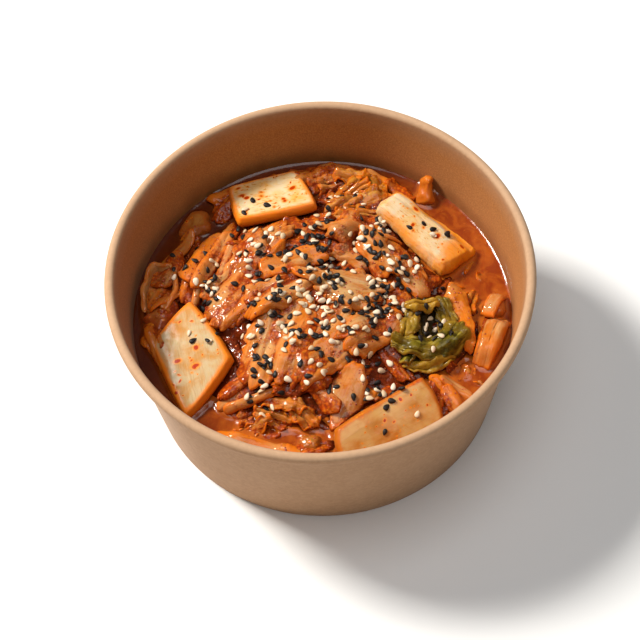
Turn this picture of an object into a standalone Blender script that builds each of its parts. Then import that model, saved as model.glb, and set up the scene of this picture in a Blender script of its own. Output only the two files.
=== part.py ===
"""A round kraft paper bowl filled with cabbage and radish kimchi.

Metres, +Z up. The origin is the centre of the foot ring, on the surface
that the bowl stands on, and the bowl's diner sits on the -Y side.
All constants are in millimetres; to_metres() converts each mesh.
"""
import math

import bmesh
import bpy
from mathutils import Vector
from mathutils.bvhtree import BVHTree

MM = 0.001

# ---- paper bowl ----------------------------------------------------------
RIM_RADIUS = 75.0          # outside of the rolled rim
FOOT_RADIUS = 64.0         # outside of the foot ring
HEIGHT = 63.6              # table to the top of the rim
WALL = 0.55                # paper thickness
SHOULDER_RADIUS = 71.9     # outside of the wall where it meets the rim
ROLL_WIDTH = 3.5           # rolled rim, across
ROLL_DEPTH = 4.3           # rolled rim, from its top to its paper edge
FOOT_WALL = 1.2            # folded foot ring, three layers of paper
FLOOR_UNDER = 6.0          # underside of the bottom disc
FLOOR_TOP = 6.8
TURN_SEGMENTS = 48

# ---- contents ------------------------------------------------------------
BRINE_LEVEL = 34.5
GAP = 0.3                  # kept between neighbouring pieces
CUT_MARGIN = 0.45          # how far a cutter stands out, so that the gap stays at blunt edges
MERGE = 0.002              # points closer than this after a cut are one point
MOUND_TOP = 48.5           # cabbage surface at the middle of the heap
MOUND_EDGE = 36.5          # and where it meets the brine
MOUND_CENTRE = (-2.0, 3.0)
MOUND_REACH = 62.0         # distance over which the mound falls away
CORE_DEPTH = 4.4           # core surface under the top layer of cabbage
CORE_SHOULDER = 1.5        # further drop at the outline of the core
HEAP_SEGMENTS = 36
HEAP_RINGS = 6

# ---- colours: base colour and roughness ----------------------------------
KRAFT = ((0.42, 0.25, 0.13, 1.0), 0.85)
BRINE = ((0.36, 0.05, 0.012, 1.0), 0.12)
RED_CABBAGE = ((0.55, 0.13, 0.03, 1.0), 0.35)
PALE_STEM = ((0.72, 0.36, 0.15, 1.0), 0.35)
RADISH = ((0.82, 0.58, 0.32, 1.0), 0.4)
YELLOW_LEAF = ((0.45, 0.22, 0.05, 1.0), 0.4)
GREEN_LEAF = ((0.16, 0.17, 0.03, 1.0), 0.35)


# ---- helpers -------------------------------------------------------------
def clear_scene():
    for old in list(bpy.data.objects):
        bpy.data.objects.remove(old, do_unlink=True)


def make_material(name, finish):
    colour, roughness = finish
    material = bpy.data.materials.new(name)
    material.use_nodes = True
    shader = material.node_tree.nodes["Principled BSDF"]
    shader.inputs["Base Color"].default_value = colour
    shader.inputs["Roughness"].default_value = roughness
    shader.inputs["Metallic"].default_value = 0.0
    return material


def add_object(name, bm, finish, smooth_angle=50.0):
    """Turn a bmesh in millimetres into a named, shaded object in metres."""
    bmesh.ops.recalc_face_normals(bm, faces=bm.faces)
    bmesh.ops.scale(bm, vec=(MM, MM, MM), verts=bm.verts)
    mesh = bpy.data.meshes.new(name)
    bm.to_mesh(mesh)
    bm.free()
    mesh.shade_smooth()
    mesh.set_sharp_from_angle(angle=math.radians(smooth_angle))
    piece = bpy.data.objects.new(name, mesh)
    piece.data.materials.append(make_material(name, finish))
    bpy.context.scene.collection.objects.link(piece)
    return piece


def turn(profile, segments):
    """Revolve (radius, height) points about Z; both ends lie on the axis."""
    bm = bmesh.new()
    rings = []
    for radius, height in profile:
        if radius == 0.0:
            rings.append([bm.verts.new((0.0, 0.0, height))])
            continue
        ring = []
        for i in range(segments):
            angle = 2.0 * math.pi * i / segments
            ring.append(bm.verts.new((radius * math.cos(angle), radius * math.sin(angle), height)))
        rings.append(ring)
    for lower, upper in zip(rings, rings[1:]):
        for i in range(segments):
            j = (i + 1) % segments
            corners = [lower[i % len(lower)], lower[j % len(lower)]]
            corners += [upper[j % len(upper)], upper[i % len(upper)]]
            unique = list(dict.fromkeys(corners))
            bm.faces.new(unique)
    return bm


# ---- bowl ----------------------------------------------------------------
def wall_outside(height):
    """Outer radius of the tapering wall at a height."""
    run = HEIGHT - ROLL_DEPTH
    return FOOT_RADIUS + (SHOULDER_RADIUS - FOOT_RADIUS) * height / run


def wall_inside(height):
    return wall_outside(height) - WALL


def rim_profile():
    """Rolled rim from its paper edge, over the top, to the inside of the wall."""
    inner = RIM_RADIUS - ROLL_WIDTH
    middle = RIM_RADIUS - ROLL_WIDTH / 2.0
    half = ROLL_WIDTH / 2.0
    points = [(SHOULDER_RADIUS, HEIGHT - ROLL_DEPTH), (middle, HEIGHT - ROLL_DEPTH)]
    points.append((RIM_RADIUS - 0.25, HEIGHT - ROLL_DEPTH + 0.9))
    arc_steps = 6
    for i in range(arc_steps + 1):
        angle = math.pi * i / arc_steps
        points.append((middle + half * math.cos(angle), HEIGHT - half + half * math.sin(angle)))
    points.append((inner - 0.1, HEIGHT - ROLL_DEPTH))
    return points


def make_bowl():
    foot_inside = FOOT_RADIUS - FOOT_WALL
    profile = [(0.0, FLOOR_UNDER), (foot_inside, FLOOR_UNDER), (foot_inside, 0.0), (FOOT_RADIUS, 0.0)]
    profile += rim_profile()
    profile += [(wall_inside(FLOOR_TOP + 1.0), FLOOR_TOP + 1.0)]
    profile += [(wall_inside(FLOOR_TOP) - 1.0, FLOOR_TOP), (0.0, FLOOR_TOP)]
    return add_object("bowl", turn(profile, TURN_SEGMENTS), KRAFT, smooth_angle=40.0)


# ---- mound ---------------------------------------------------------------
def mound_height(x, y):
    """Height of the top layer of cabbage over the heap."""
    reach = math.hypot(x - MOUND_CENTRE[0], y - MOUND_CENTRE[1]) / MOUND_REACH
    height = MOUND_EDGE + (MOUND_TOP - MOUND_EDGE) * (1.0 - min(reach, 1.0) ** 2)
    height += 0.7 * math.sin(0.17 * x + 0.6) * math.cos(0.21 * y - 0.4)
    height += 0.5 * math.sin(0.33 * x - 0.27 * y)
    return height


def heap_outline(angle):
    """Radius at which the heap stands out of the brine."""
    radius = 55.0 + 2.2 * math.sin(2.0 * angle + 0.9) + 1.6 * math.sin(3.0 * angle - 0.5)
    return radius + 1.2 * math.sin(7.0 * angle + 0.3) + 0.8 * math.sin(11.0 * angle)


def make_heap():
    """Packed cabbage under the top layer: an uneven mound from the bowl's floor."""
    bm = bmesh.new()
    rings = []
    for ring in range(1, HEAP_RINGS + 1):
        share = ring / HEAP_RINGS
        verts = []
        for i in range(HEAP_SEGMENTS):
            angle = 2.0 * math.pi * i / HEAP_SEGMENTS
            radius = heap_outline(angle) * share
            x, y = radius * math.cos(angle), radius * math.sin(angle)
            drop = CORE_DEPTH if ring < HEAP_RINGS else CORE_DEPTH + CORE_SHOULDER
            verts.append(bm.verts.new((x, y, mound_height(x, y) - drop)))
        rings.append(verts)
    foot = []
    for vert in rings[-1]:
        foot.append(bm.verts.new((vert.co.x * 1.02, vert.co.y * 1.02, FLOOR_TOP + GAP)))
    top = bm.verts.new((0.0, 0.0, mound_height(0.0, 0.0) - CORE_DEPTH))
    for i in range(HEAP_SEGMENTS):
        j = (i + 1) % HEAP_SEGMENTS
        bm.faces.new((top, rings[0][i], rings[0][j]))
        for lower, upper in zip(rings + [foot], rings[1:] + [foot]):
            if lower is not upper:
                bm.faces.new((lower[i], upper[i], upper[j], lower[j]))
    bm.faces.new(foot)
    bmesh.ops.triangulate(bm, faces=bm.faces)
    return add_object("cabbage_heap", bm, RED_CABBAGE)


def make_brine():
    """Brine from the floor to its level, out to the wall; the pieces are cut out later."""
    floor = FLOOR_TOP + GAP
    profile = [(0.0, floor), (wall_inside(floor + 1.0) - 1.5, floor)]
    profile += [(wall_inside(floor + 1.5) - GAP - 0.2, floor + 1.5)]
    profile += [(wall_inside(BRINE_LEVEL) - GAP - 0.2, BRINE_LEVEL), (0.0, BRINE_LEVEL)]
    return add_object("brine", turn(profile, TURN_SEGMENTS), BRINE)


# ---- cut pieces of vegetable ---------------------------------------------
def quad_point(corners, u, v):
    """Bilinear point of a four-cornered face: a, b, c, d run anticlockwise."""
    a, b, c, d = (Vector(corner) for corner in corners)
    return a.lerp(b, u).lerp(d.lerp(c, u), v)


def round_corner(u, v, amount):
    """Pull the corners of the unit square in, towards a rounded outline."""
    s, t = 2.0 * u - 1.0, 2.0 * v - 1.0
    pull = amount * s * s * t * t
    return (s * (1.0 - pull) + 1.0) / 2.0, (t * (1.0 - pull) + 1.0) / 2.0


def slab(name, corners, thickness, finish, grid=(3, 3), corner=0.08, crown=0.0, hollow=0.0,
         ripple=0.0, waves=3.0, draped=False, lift=0.0, edge=0.3):
    """A bent, round-edged slice whose upper face has the four given corners.

    crown raises the middle, hollow turns the long sides up, ripple is the height
    of frills that grow towards the outline, and draped pieces follow the mound.
    """
    nu, nv = grid
    inset = edge * thickness

    def surface(u, v):
        ru, rv = round_corner(u, v, corner)
        point = quad_point(corners, ru, rv)
        if draped:
            point.z = mound_height(point.x, point.y) + lift
        s, t = 2.0 * u - 1.0, 2.0 * v - 1.0
        point.z += crown * (1.0 - s * s) * (1.0 - t * t) + hollow * t * t
        rim = max(abs(s), abs(t)) ** 2
        point.z += ripple * rim * math.sin(waves * math.pi * (u + 0.35 * v) + 0.7)
        return point

    middle = surface(0.5, 0.5)
    normal = (surface(1.0, 1.0) - surface(0.0, 0.0)).cross(surface(0.0, 1.0) - surface(1.0, 0.0))
    normal.normalize()
    bm = bmesh.new()
    upper, lower, sides = {}, {}, {}
    for i in range(nu + 1):
        for j in range(nv + 1):
            point = surface(i / nu, j / nv)
            outward = Vector((0.0, 0.0, 0.0))
            if i in (0, nu) or j in (0, nv):
                outward = (point - middle) - normal * (point - middle).dot(normal)
                outward = outward.normalized() * inset
                sides[i, j] = (bm.verts.new(point - normal * inset),
                               bm.verts.new(point - normal * (thickness - inset)))
            upper[i, j] = bm.verts.new(point - outward)
            lower[i, j] = bm.verts.new(point - outward - normal * thickness)
    for i in range(nu):
        for j in range(nv):
            around = ((i, j), (i + 1, j), (i + 1, j + 1), (i, j + 1))
            bm.faces.new([upper[k] for k in around])
            bm.faces.new([lower[k] for k in reversed(around)])
    outline = [(i, 0) for i in range(nu)] + [(nu, j) for j in range(nv)]
    outline += [(i, nv) for i in range(nu, 0, -1)] + [(0, j) for j in range(nv, 0, -1)]
    for here, after in zip(outline, outline[1:] + outline[:1]):
        high, low = sides[here]
        high_after, low_after = sides[after]
        bm.faces.new((upper[here], high, high_after, upper[after]))
        bm.faces.new((high, low, low_after, high_after))
        bm.faces.new((low, lower[here], lower[after], low_after))
    bmesh.ops.triangulate(bm, faces=bm.faces)
    return add_object(name, bm, finish)


def curled_leaf(name, centre, radii, turn_degrees, start_degrees, width, thickness, finish):
    """A leaf rolled on itself: a frilled band that runs round a hollow, higher at its start."""
    around, across = 12, 4
    bm = bmesh.new()
    loops = []
    for i in range(around + 1):
        share = i / around
        angle = math.radians(start_degrees + turn_degrees * share)
        frill = 0.9 * math.sin(6.5 * math.pi * share)
        lie = 1.0 - 0.35 * share
        loop = []
        for side in (0, 1):
            for k in range(across + 1):
                t = k / across if side == 0 else 1.0 - k / across
                radial = (t - 0.5) * width * lie
                arch = 2.2 * (1.0 - (2.0 * t - 1.0) ** 2) + frill * t * t
                height = centre[2] + arch + 1.5 * (1.0 - share) - side * thickness
                x = centre[0] + (radii[0] + radial) * math.cos(angle)
                y = centre[1] + (radii[1] + radial) * math.sin(angle)
                loop.append(bm.verts.new((x, y, height)))
        loops.append(loop)
    count = len(loops[0])
    for near, far in zip(loops, loops[1:]):
        for k in range(count):
            m = (k + 1) % count
            bm.faces.new((near[k], near[m], far[m], far[k]))
    bm.faces.new(list(reversed(loops[0])))
    bm.faces.new(loops[-1])
    bmesh.ops.triangulate(bm, faces=bm.faces)
    return add_object(name, bm, finish)


def make_radish():
    """Two flat slices of radish, lying on the rim of the heap."""
    back = ((-29.0, 37.0, 42.5), (0.5, 41.5, 44.0), (-6.5, 62.5, 39.0), (-32.5, 57.0, 38.0))
    left = ((-47.5, -42.0, 38.0), (-31.5, -21.0, 42.5), (-46.0, 5.5, 42.5), (-59.5, -10.0, 37.5))
    return [slab("radish_back", back, 4.6, RADISH, grid=(4, 4), corner=0.05, crown=0.5),
            slab("radish_left", left, 5.0, RADISH, grid=(4, 4), corner=0.07, crown=0.6)]


def make_thick_stems():
    """Thick white cabbage stems: one along the right of the heap, one leaning on the front wall."""
    right = ((24.5, 37.5, 45.0), (46.0, 10.5, 41.5), (60.0, 22.0, 37.5), (32.5, 47.0, 41.0))
    front = ((4.0, -65.5, 37.0), (42.0, -49.5, 37.5), (34.5, -33.0, 45.0), (1.0, -52.5, 43.0))
    left = ((-46.0, 9.5, 42.8), (-39.5, 9.0, 43.8), (-29.5, 31.5, 44.3), (-36.0, 34.0, 43.0))
    centre_front = ((2.5, -45.5, 40.5), (8.0, -44.5, 40.5), (14.5, -29.5, 42.5), (1.5, -27.5, 42.5))
    return [slab("stem_right", right, 6.5, RADISH, grid=(6, 4), corner=0.07, crown=1.2),
            slab("stem_front", front, 4.5, PALE_STEM, grid=(6, 3), corner=0.07, crown=1.8),
            slab("stem_left", left, 3.4, PALE_STEM, grid=(2, 4), crown=0.9),
            slab("stem_centre_front", centre_front, 2.4, PALE_STEM, grid=(2, 3), corner=0.04, crown=0.6)]


def make_side_pieces():
    """Smaller cut pieces that stand out of the brine round the heap."""
    pieces = (
        ("chunk_back_right", ((38.0, 45.5, 36.0), (43.5, 45.5, 36.0), (42.5, 50.5, 43.5), (39.0, 51.5, 43.0)),
         4.2, YELLOW_LEAF, (2, 2), 0.8),
        ("roll_left", ((-65.0, 6.0, 38.0), (-57.5, 6.0, 40.0), (-54.5, 24.0, 40.5), (-60.5, 25.5, 38.0)),
         5.2, PALE_STEM, (2, 3), 1.2),
        ("chunk_left", ((-58.5, -6.5, 37.5), (-54.0, 0.5, 39.5), (-58.5, 5.0, 39.0), (-65.5, 1.0, 37.5)),
         5.6, RED_CABBAGE, (2, 2), 0.8),
        ("chip_back_left", ((-50.0, 38.0, 36.5), (-41.5, 38.5, 37.5), (-41.5, 45.5, 36.5), (-46.5, 46.5, 36.0)),
         3.6, PALE_STEM, (2, 2), 0.3),
        ("stick_right", ((58.8, -6.0, 38.5), (65.3, -7.0, 37.5), (65.5, 0.0, 37.5), (60.0, 1.0, 38.5)),
         5.2, PALE_STEM, (2, 2), 0.6),
        ("wedge_right", ((54.5, -24.5, 38.0), (59.5, -25.0, 37.0), (65.5, -12.0, 37.5), (60.5, -8.5, 39.0)),
         5.6, PALE_STEM, (2, 2), 0.6),
        ("curl_right", ((50.5, -24.5, 39.0), (54.0, -20.5, 39.5), (53.5, 5.5, 40.5), (49.5, 6.0, 41.0)),
         5.0, YELLOW_LEAF, (2, 4), 1.0),
        ("strip_front_right", ((41.0, -47.0, 39.5), (50.0, -41.0, 38.0), (46.5, -34.5, 38.5), (39.5, -31.5, 40.5)),
         5.0, YELLOW_LEAF, (2, 2), 0.8),
        ("strip_front_left", ((-39.0, -37.0, 40.0), (-21.0, -34.5, 41.5), (-20.0, -30.5, 42.0), (-31.0, -31.0, 41.5)),
         2.6, YELLOW_LEAF, (3, 2), 0.6),
        ("chunk_front", ((-10.0, -56.0, 37.5), (-4.0, -57.5, 37.0), (-3.0, -51.5, 38.0), (-9.5, -51.0, 38.5)),
         5.4, GREEN_LEAF, (2, 2), 0.5),
    )
    made = []
    for name, corners, thickness, finish, grid, crown in pieces:
        made.append(slab(name, corners, thickness, finish, grid=grid, crown=crown))
    return made


def make_leaves():
    """Frilled leaf ends, and the green leaf that is rolled on itself."""
    back = ((3.0, 37.5, 42.5), (22.0, 38.5, 44.0), (24.5, 60.0, 39.5), (2.0, 61.0, 38.5))
    front = ((-34.0, -47.5, 39.0), (-3.0, -48.5, 39.5), (-3.0, -40.5, 41.0), (-33.0, -39.5, 40.5))
    left = ((-55.0, 8.5, 40.5), (-47.5, 8.0, 42.5), (-37.0, 32.5, 42.5), (-51.5, 32.0, 39.0))
    made = [slab("leaf_back", back, 3.0, YELLOW_LEAF, grid=(5, 5), ripple=1.3, waves=4.0, crown=1.0),
            slab("leaf_front", front, 2.8, YELLOW_LEAF, grid=(8, 3), ripple=0.7, waves=5.0, crown=0.8),
            slab("leaf_left", left, 3.0, RED_CABBAGE, grid=(3, 5), ripple=0.8, waves=3.0, crown=0.6)]
    made.append(curled_leaf("green_leaf", (37.5, -12.5, 40.5), (6.8, 9.5), 300.0, 60.0,
                            8.5, 2.4, GREEN_LEAF))
    return made


def make_top_cabbage():
    """The top layer of the mound: stems and folded leaves laid over the heap."""
    layer = (
        ("top_stem", ((-21.0, 11.5), (-2.5, 13.5), (1.5, 22.5), (-15.5, 20.5)), 3.0, PALE_STEM, 0.6, (3, 2)),
        ("top_stem_centre", ((-1.0, -6.5), (20.0, -4.0), (20.5, 11.0), (0.5, 12.5)), 3.2, PALE_STEM, 0.8, (3, 3)),
        ("top_leaf_back", ((-27.0, 23.0), (3.0, 24.5), (4.5, 35.0), (-25.0, 34.0)), 3.0, RED_CABBAGE, 0.6, (4, 2)),
        ("top_leaf_back_right", ((6.5, 30.5), (20.0, 30.0), (21.5, 36.5), (6.5, 35.5)), 3.0, RED_CABBAGE, 0.8, (2, 2)),
        ("top_leaf_right", ((4.5, 15.0), (26.0, 13.0), (26.5, 28.0), (6.0, 28.5)), 3.4, RED_CABBAGE, 1.0, (4, 3)),
        ("top_strip_right", ((27.5, 2.5), (34.0, 0.5), (38.0, 7.5), (28.5, 15.0)), 2.6, PALE_STEM, 0.6, (2, 2)),
        ("top_lip", ((8.5, -23.5), (25.5, -16.5), (25.0, -6.0), (8.5, -8.5)), 2.6, RED_CABBAGE, 1.0, (3, 2)),
        ("top_leaf_front", ((-13.0, -28.5), (7.0, -23.5), (7.0, -8.5), (-6.5, -6.0)), 3.0, PALE_STEM, 1.0, (3, 3)),
        ("top_leaf_left", ((-25.0, -26.5), (-14.5, -28.0), (-7.5, -4.5), (-21.5, -5.0)), 3.0, RED_CABBAGE, 0.8, (2, 4)),
        ("top_leaf_middle", ((-21.5, -3.0), (-3.0, -3.5), (-2.0, 11.0), (-21.5, 9.5)), 3.0, RED_CABBAGE, 0.6, (3, 3)),
        ("top_leaf_side", ((-38.0, -7.0), (-23.0, -4.0), (-23.0, 21.5), (-36.5, 23.0)), 3.2, RED_CABBAGE, 0.6, (3, 4)),
        ("top_leaf_low", ((-21.0, -38.0), (-0.5, -37.5), (-0.5, -30.5), (-19.5, -30.0)), 2.8, RED_CABBAGE, 0.6, (3, 2)),
    )
    made = []
    for name, outline, thickness, finish, crown, grid in layer:
        corners = [(x, y, 0.0) for x, y in outline]
        made.append(slab(name, corners, thickness, finish, grid=grid, crown=crown,
                         draped=True, ripple=0.4, waves=3.0))
    return made


# ---- clearances ----------------------------------------------------------
def swollen_copy(piece, amount):
    """A cutter: the piece moved outwards all round by amount (millimetres)."""
    mesh = piece.data.copy()
    for vert, normal in zip(mesh.vertices, [v.normal.copy() for v in mesh.vertices]):
        vert.co += normal * (amount * MM)
    cutter = bpy.data.objects.new(piece.name + "_cutter", mesh)
    cutter.hide_render = True
    cutter.display_type = "WIRE"
    bpy.context.scene.collection.objects.link(cutter)
    return cutter


def boxes_meet(one, other, margin):
    """True where the boxes of two objects' meshes come within the margin (metres)."""
    for axis in range(3):
        low_one = min(v.co[axis] for v in one.data.vertices) - margin
        high_one = max(v.co[axis] for v in one.data.vertices) + margin
        low_other = min(v.co[axis] for v in other.data.vertices)
        high_other = max(v.co[axis] for v in other.data.vertices)
        if high_one < low_other or low_one > high_other:
            return False
    return True


def surfaces_meet(one, other):
    trees = []
    for piece in (one, other):
        bm = bmesh.new()
        bm.from_mesh(piece.data)
        trees.append(BVHTree.FromBMesh(bm))
        bm.free()
    return bool(trees[0].overlap(trees[1]))


def keep_largest(bm):
    """Delete every loose shell of a bmesh but the one with the most volume."""
    shells, seen = [], set()
    for start in bm.faces:
        if start in seen:
            continue
        shell, stack = set(), [start]
        while stack:
            face = stack.pop()
            if face in shell:
                continue
            shell.add(face)
            for edge in face.edges:
                stack.extend(other for other in edge.link_faces if other not in shell)
        seen |= shell
        shells.append(shell)
    if len(shells) < 2:
        return
    size = {i: sum(face.calc_area() for face in shell) for i, shell in enumerate(shells)}
    largest = max(size, key=size.get)
    spare = [face for i, shell in enumerate(shells) if i != largest for face in shell]
    bmesh.ops.delete(bm, geom=spare, context="FACES")


def carve(piece, cutters):
    """Cut the clearance round other pieces out of a piece and apply the result."""
    meeting = [cutter for cutter in cutters if boxes_meet(piece, cutter, 0.0) and surfaces_meet(piece, cutter)]
    if not meeting:
        return
    for cutter in meeting:
        cut = piece.modifiers.new(cutter.name, "BOOLEAN")
        cut.operation = "DIFFERENCE"
        cut.solver = "MANIFOLD"
        cut.object = cutter
    evaluated = piece.evaluated_get(bpy.context.evaluated_depsgraph_get())
    bm = bmesh.new()
    bm.from_mesh(evaluated.to_mesh())
    evaluated.to_mesh_clear()
    piece.modifiers.clear()
    bmesh.ops.remove_doubles(bm, verts=bm.verts, dist=MERGE * MM)
    bmesh.ops.dissolve_degenerate(bm, edges=bm.edges, dist=MERGE * MM)
    bmesh.ops.triangulate(bm, faces=bm.faces)
    keep_largest(bm)
    bm.to_mesh(piece.data)
    bm.free()


def main():
    clear_scene()
    make_bowl()
    cutters = []
    for piece in make_radish() + make_thick_stems():
        cutters.append(swollen_copy(piece, CUT_MARGIN))
    heap = make_heap()
    heap_cutter = swollen_copy(heap, CUT_MARGIN)
    for piece in make_side_pieces() + make_leaves() + make_top_cabbage():
        cutter = swollen_copy(piece, CUT_MARGIN)
        carve(piece, cutters)
        cutters.append(cutter)
    carve(heap, cutters)
    brine = make_brine()
    carve(brine, cutters + [heap_cutter])
    for cutter in cutters + [heap_cutter]:
        bpy.data.objects.remove(cutter, do_unlink=True)


main()
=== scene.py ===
"""Looks of a kraft paper bowl filled with cabbage and radish kimchi.

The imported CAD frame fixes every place. Shapes are worked out in millimetres
and written to the meshes in metres. The food is laid the way it is served:
a core, then sheets of cabbage laid one on another over a height map, with
the radish slices and thick stems between them, and seeds and chili on top.
"""
import itertools
import math
from collections import defaultdict

import bmesh
import bpy
import numpy as np
from mathutils import Matrix, Vector
from mathutils.bvhtree import BVHTree


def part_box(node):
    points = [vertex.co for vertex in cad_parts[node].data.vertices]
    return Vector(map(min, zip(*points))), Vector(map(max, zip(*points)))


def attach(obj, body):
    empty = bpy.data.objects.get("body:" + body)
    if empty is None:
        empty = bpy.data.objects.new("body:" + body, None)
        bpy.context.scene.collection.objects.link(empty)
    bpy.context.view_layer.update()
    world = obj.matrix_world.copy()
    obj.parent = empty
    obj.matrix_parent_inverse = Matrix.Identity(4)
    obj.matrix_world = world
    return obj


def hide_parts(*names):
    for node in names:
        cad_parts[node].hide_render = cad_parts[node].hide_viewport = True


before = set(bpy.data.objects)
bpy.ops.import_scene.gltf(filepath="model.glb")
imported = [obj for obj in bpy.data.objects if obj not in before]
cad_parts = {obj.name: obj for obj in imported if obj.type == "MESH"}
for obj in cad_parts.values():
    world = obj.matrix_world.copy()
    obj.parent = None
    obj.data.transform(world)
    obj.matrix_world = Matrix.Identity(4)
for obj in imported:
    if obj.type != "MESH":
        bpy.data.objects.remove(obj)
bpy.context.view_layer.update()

MM = 0.001

# ---- driving sizes, read from the frame (millimetres) ----
RIM_RADIUS, _, HEIGHT = np.array(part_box("bowl")[1]) / MM
BRINE_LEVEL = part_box("brine")[1][2] / MM

# ---- paper bowl ----
WALL = 0.55
ROLL_WIDTH = 3.5
ROLL_DEPTH = 4.3
FOOT_WALL = 1.2
FLOOR_UNDER = 6.0
FLOOR_TOP = 6.8
SHOULDER_GAP = 3.1         # from the outside of the rim to the wall under it
BOWL_SEGMENTS = 240
BOWL_SWAY = 0.0006         # how far the bowl is from round, as a share of its radius

# ---- height map ----
MAP_HALF = 72.0
MAP_CELL = 0.6
MAP_SIZE = int(2 * MAP_HALF / MAP_CELL) + 1

# ---- core and brine surface ----
CORE_SINK = 1.2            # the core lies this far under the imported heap's top
CORE_BOTTOM = BRINE_LEVEL - 5.0
CORE_REACH = (25.0, 66.0)  # its outline is looked for between these radii
CORE_RINGS, CORE_AROUND = 84, 320
BRINE_START = 30.0         # the brine's surface starts at this radius, under the food
BRINE_BOTTOM = BRINE_LEVEL - 4.0
BRINE_RINGS, BRINE_AROUND = 70, 540

# ---- sheets, seeds and flakes ----
CROWDING = 0.35            # how much closer a sheet's points stand at its margins
FINE_CELL, COARSE_CELL = 0.42, 0.75
CEILING_OVER = 1.2         # how far a sheet may stand over its CAD solid
FILLERS = 46
FILLER_REACH = 54.0
GOLDEN_ANGLE = 2.399963
SEED_SIZE = (2.85, 1.8, 1.0)
SEED_SPACING = 1.35
SEED_TRIES = 12
STEEPEST = 0.45            # a seed's ground has a normal at least this upright
OVER_BRINE = 2.0           # seeds lie at least this far over the brine
FLAKES = 1500
FLAKE_REACH = 60.0

# ---- studio ----
FLOOR_HALF = 3000.0
CAMERA_FIELD = 20.0        # degrees across
CAMERA_DISTANCE = 657.3
CAMERA_HEIGHT = 57.8       # degrees above the table
CAMERA_ROLL = 3.32         # degrees
CAMERA_TARGET = (-0.89, 0.0, 30.19)

LATTICE_SIZE = 24
LATTICES = [np.random.default_rng(seed).uniform(-1.0, 1.0, (LATTICE_SIZE,) * 3) for seed in range(4)]


# ======== numeric helpers ========
def noise(points, wavelength, seed=0):
    """Smooth noise in -1..1 at points (n, 3) in millimetres."""
    grid = LATTICES[seed % len(LATTICES)]
    place = np.asarray(points, float) / wavelength + 7.31 * (seed + 1)
    cell = np.floor(place).astype(int)
    part = smooth_step(0.0, 1.0, place - cell)
    total = np.zeros(len(place))
    for corner in itertools.product((0, 1), repeat=3):
        weight = np.where(corner, part, 1.0 - part).prod(1)
        total += weight * grid[tuple(((cell + corner) % LATTICE_SIZE).T)]
    return total


def rough(points, wavelength, octaves=3, seed=0):
    """Several octaves of noise, each half as long and half as strong."""
    halvings = [(octave, 2 ** octave) for octave in range(octaves)]
    return sum(noise(points, wavelength / halved, seed + octave) / halved for octave, halved in halvings)


def smooth_step(low, high, value):
    share = np.clip((value - low) / (high - low), 0.0, 1.0)
    return share * share * (3.0 - 2.0 * share)


def turns(count):
    """Angles of that many points round a circle."""
    return np.arange(count) * 2.0 * math.pi / count


class HeightMap:
    """Top of the food so far, in millimetres, on a square grid over the bowl."""

    def __init__(self):
        axis = np.linspace(-MAP_HALF, MAP_HALF, MAP_SIZE)
        self.x, self.y = np.meshgrid(axis, axis)
        self.z = np.full((MAP_SIZE, MAP_SIZE), BRINE_LEVEL - 2.0)

    def index(self, *places):
        return [np.clip((np.asarray(place) + MAP_HALF) / MAP_CELL, 0, MAP_SIZE - 1.001) for place in places]

    def read(self, x, y, grid=None):
        grid = self.z if grid is None else grid
        column, row = self.index(x, y)
        c, r = np.floor(column).astype(int), np.floor(row).astype(int)
        fc, fr = column - c, row - r
        low = grid[r, c] * (1 - fc) + grid[r, c + 1] * fc
        high = grid[r + 1, c] * (1 - fc) + grid[r + 1, c + 1] * fc
        return low * (1 - fr) + high * fr

    def blurred(self, sigma):
        reach = int(3 * sigma / MAP_CELL) + 1
        taps = np.exp(-0.5 * (np.arange(-reach, reach + 1) * MAP_CELL / sigma) ** 2)
        taps /= taps.sum()
        padded = np.pad(self.z, reach, mode="edge")
        rows = sum(tap * padded[k:k + MAP_SIZE, :] for k, tap in enumerate(taps))
        return sum(tap * rows[:, k:k + MAP_SIZE] for k, tap in enumerate(taps))

    def raise_to(self, points):
        column, row = self.index(points[:, 0], points[:, 1])
        spot = (np.rint(row).astype(int), np.rint(column).astype(int))
        np.maximum.at(self.z, spot, points[:, 2])


# ======== mesh helpers ========
def link_object(name, data):
    made = bpy.data.objects.new(name, data)
    bpy.context.scene.collection.objects.link(made)
    return made


def mesh_object(name, verts, faces, attributes=None):
    """A shown mesh from points in millimetres, with per-point values for its material."""
    mesh = bpy.data.meshes.new(name)
    mesh.from_pydata((np.asarray(verts) * MM).tolist(), [], faces)
    mesh.shade_smooth()
    piece = link_object(name, mesh)
    for key, values in (attributes or {}).items():
        set_attribute(piece, key, values)
    return piece


def set_attribute(piece, key, values):
    values = np.asarray(values, np.float32)
    kind, field = ("FLOAT_VECTOR", "vector") if values.ndim == 2 else ("FLOAT", "value")
    layer = piece.data.attributes.new(key, kind, "POINT")
    layer.data.foreach_set(field, values.ravel())


def vertex_values(piece, field):
    flat = np.empty(len(piece.data.vertices) * 3)
    piece.data.vertices.foreach_get(field, flat)
    return flat.reshape(-1, 3)


def points_of(piece):
    """Vertex places of an object, in millimetres."""
    return vertex_values(piece, "co") / MM


def spread_over_edges(piece, values, rounds):
    """Blur a per-point value along the mesh's edges."""
    ends = np.empty(len(piece.data.edges) * 2, np.int64)
    piece.data.edges.foreach_get("vertices", ends)
    one, other = ends.reshape(-1, 2).T
    count = len(values)
    degree = np.bincount(one, minlength=count) + np.bincount(other, minlength=count)
    for _ in range(rounds):
        total = np.bincount(one, values[other], count) + np.bincount(other, values[one], count)
        values = 0.5 * values + 0.5 * total / np.maximum(degree, 1)
    return values


def ring_faces(rings, around):
    """Quads between rings of points that follow one another, each with this many points."""
    faces = []
    for k in range(rings - 1):
        for i in range(around):
            here, beside = k * around + i, k * around + (i + 1) % around
            faces.append((here, here + around, beside + around, beside))
    return faces


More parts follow.
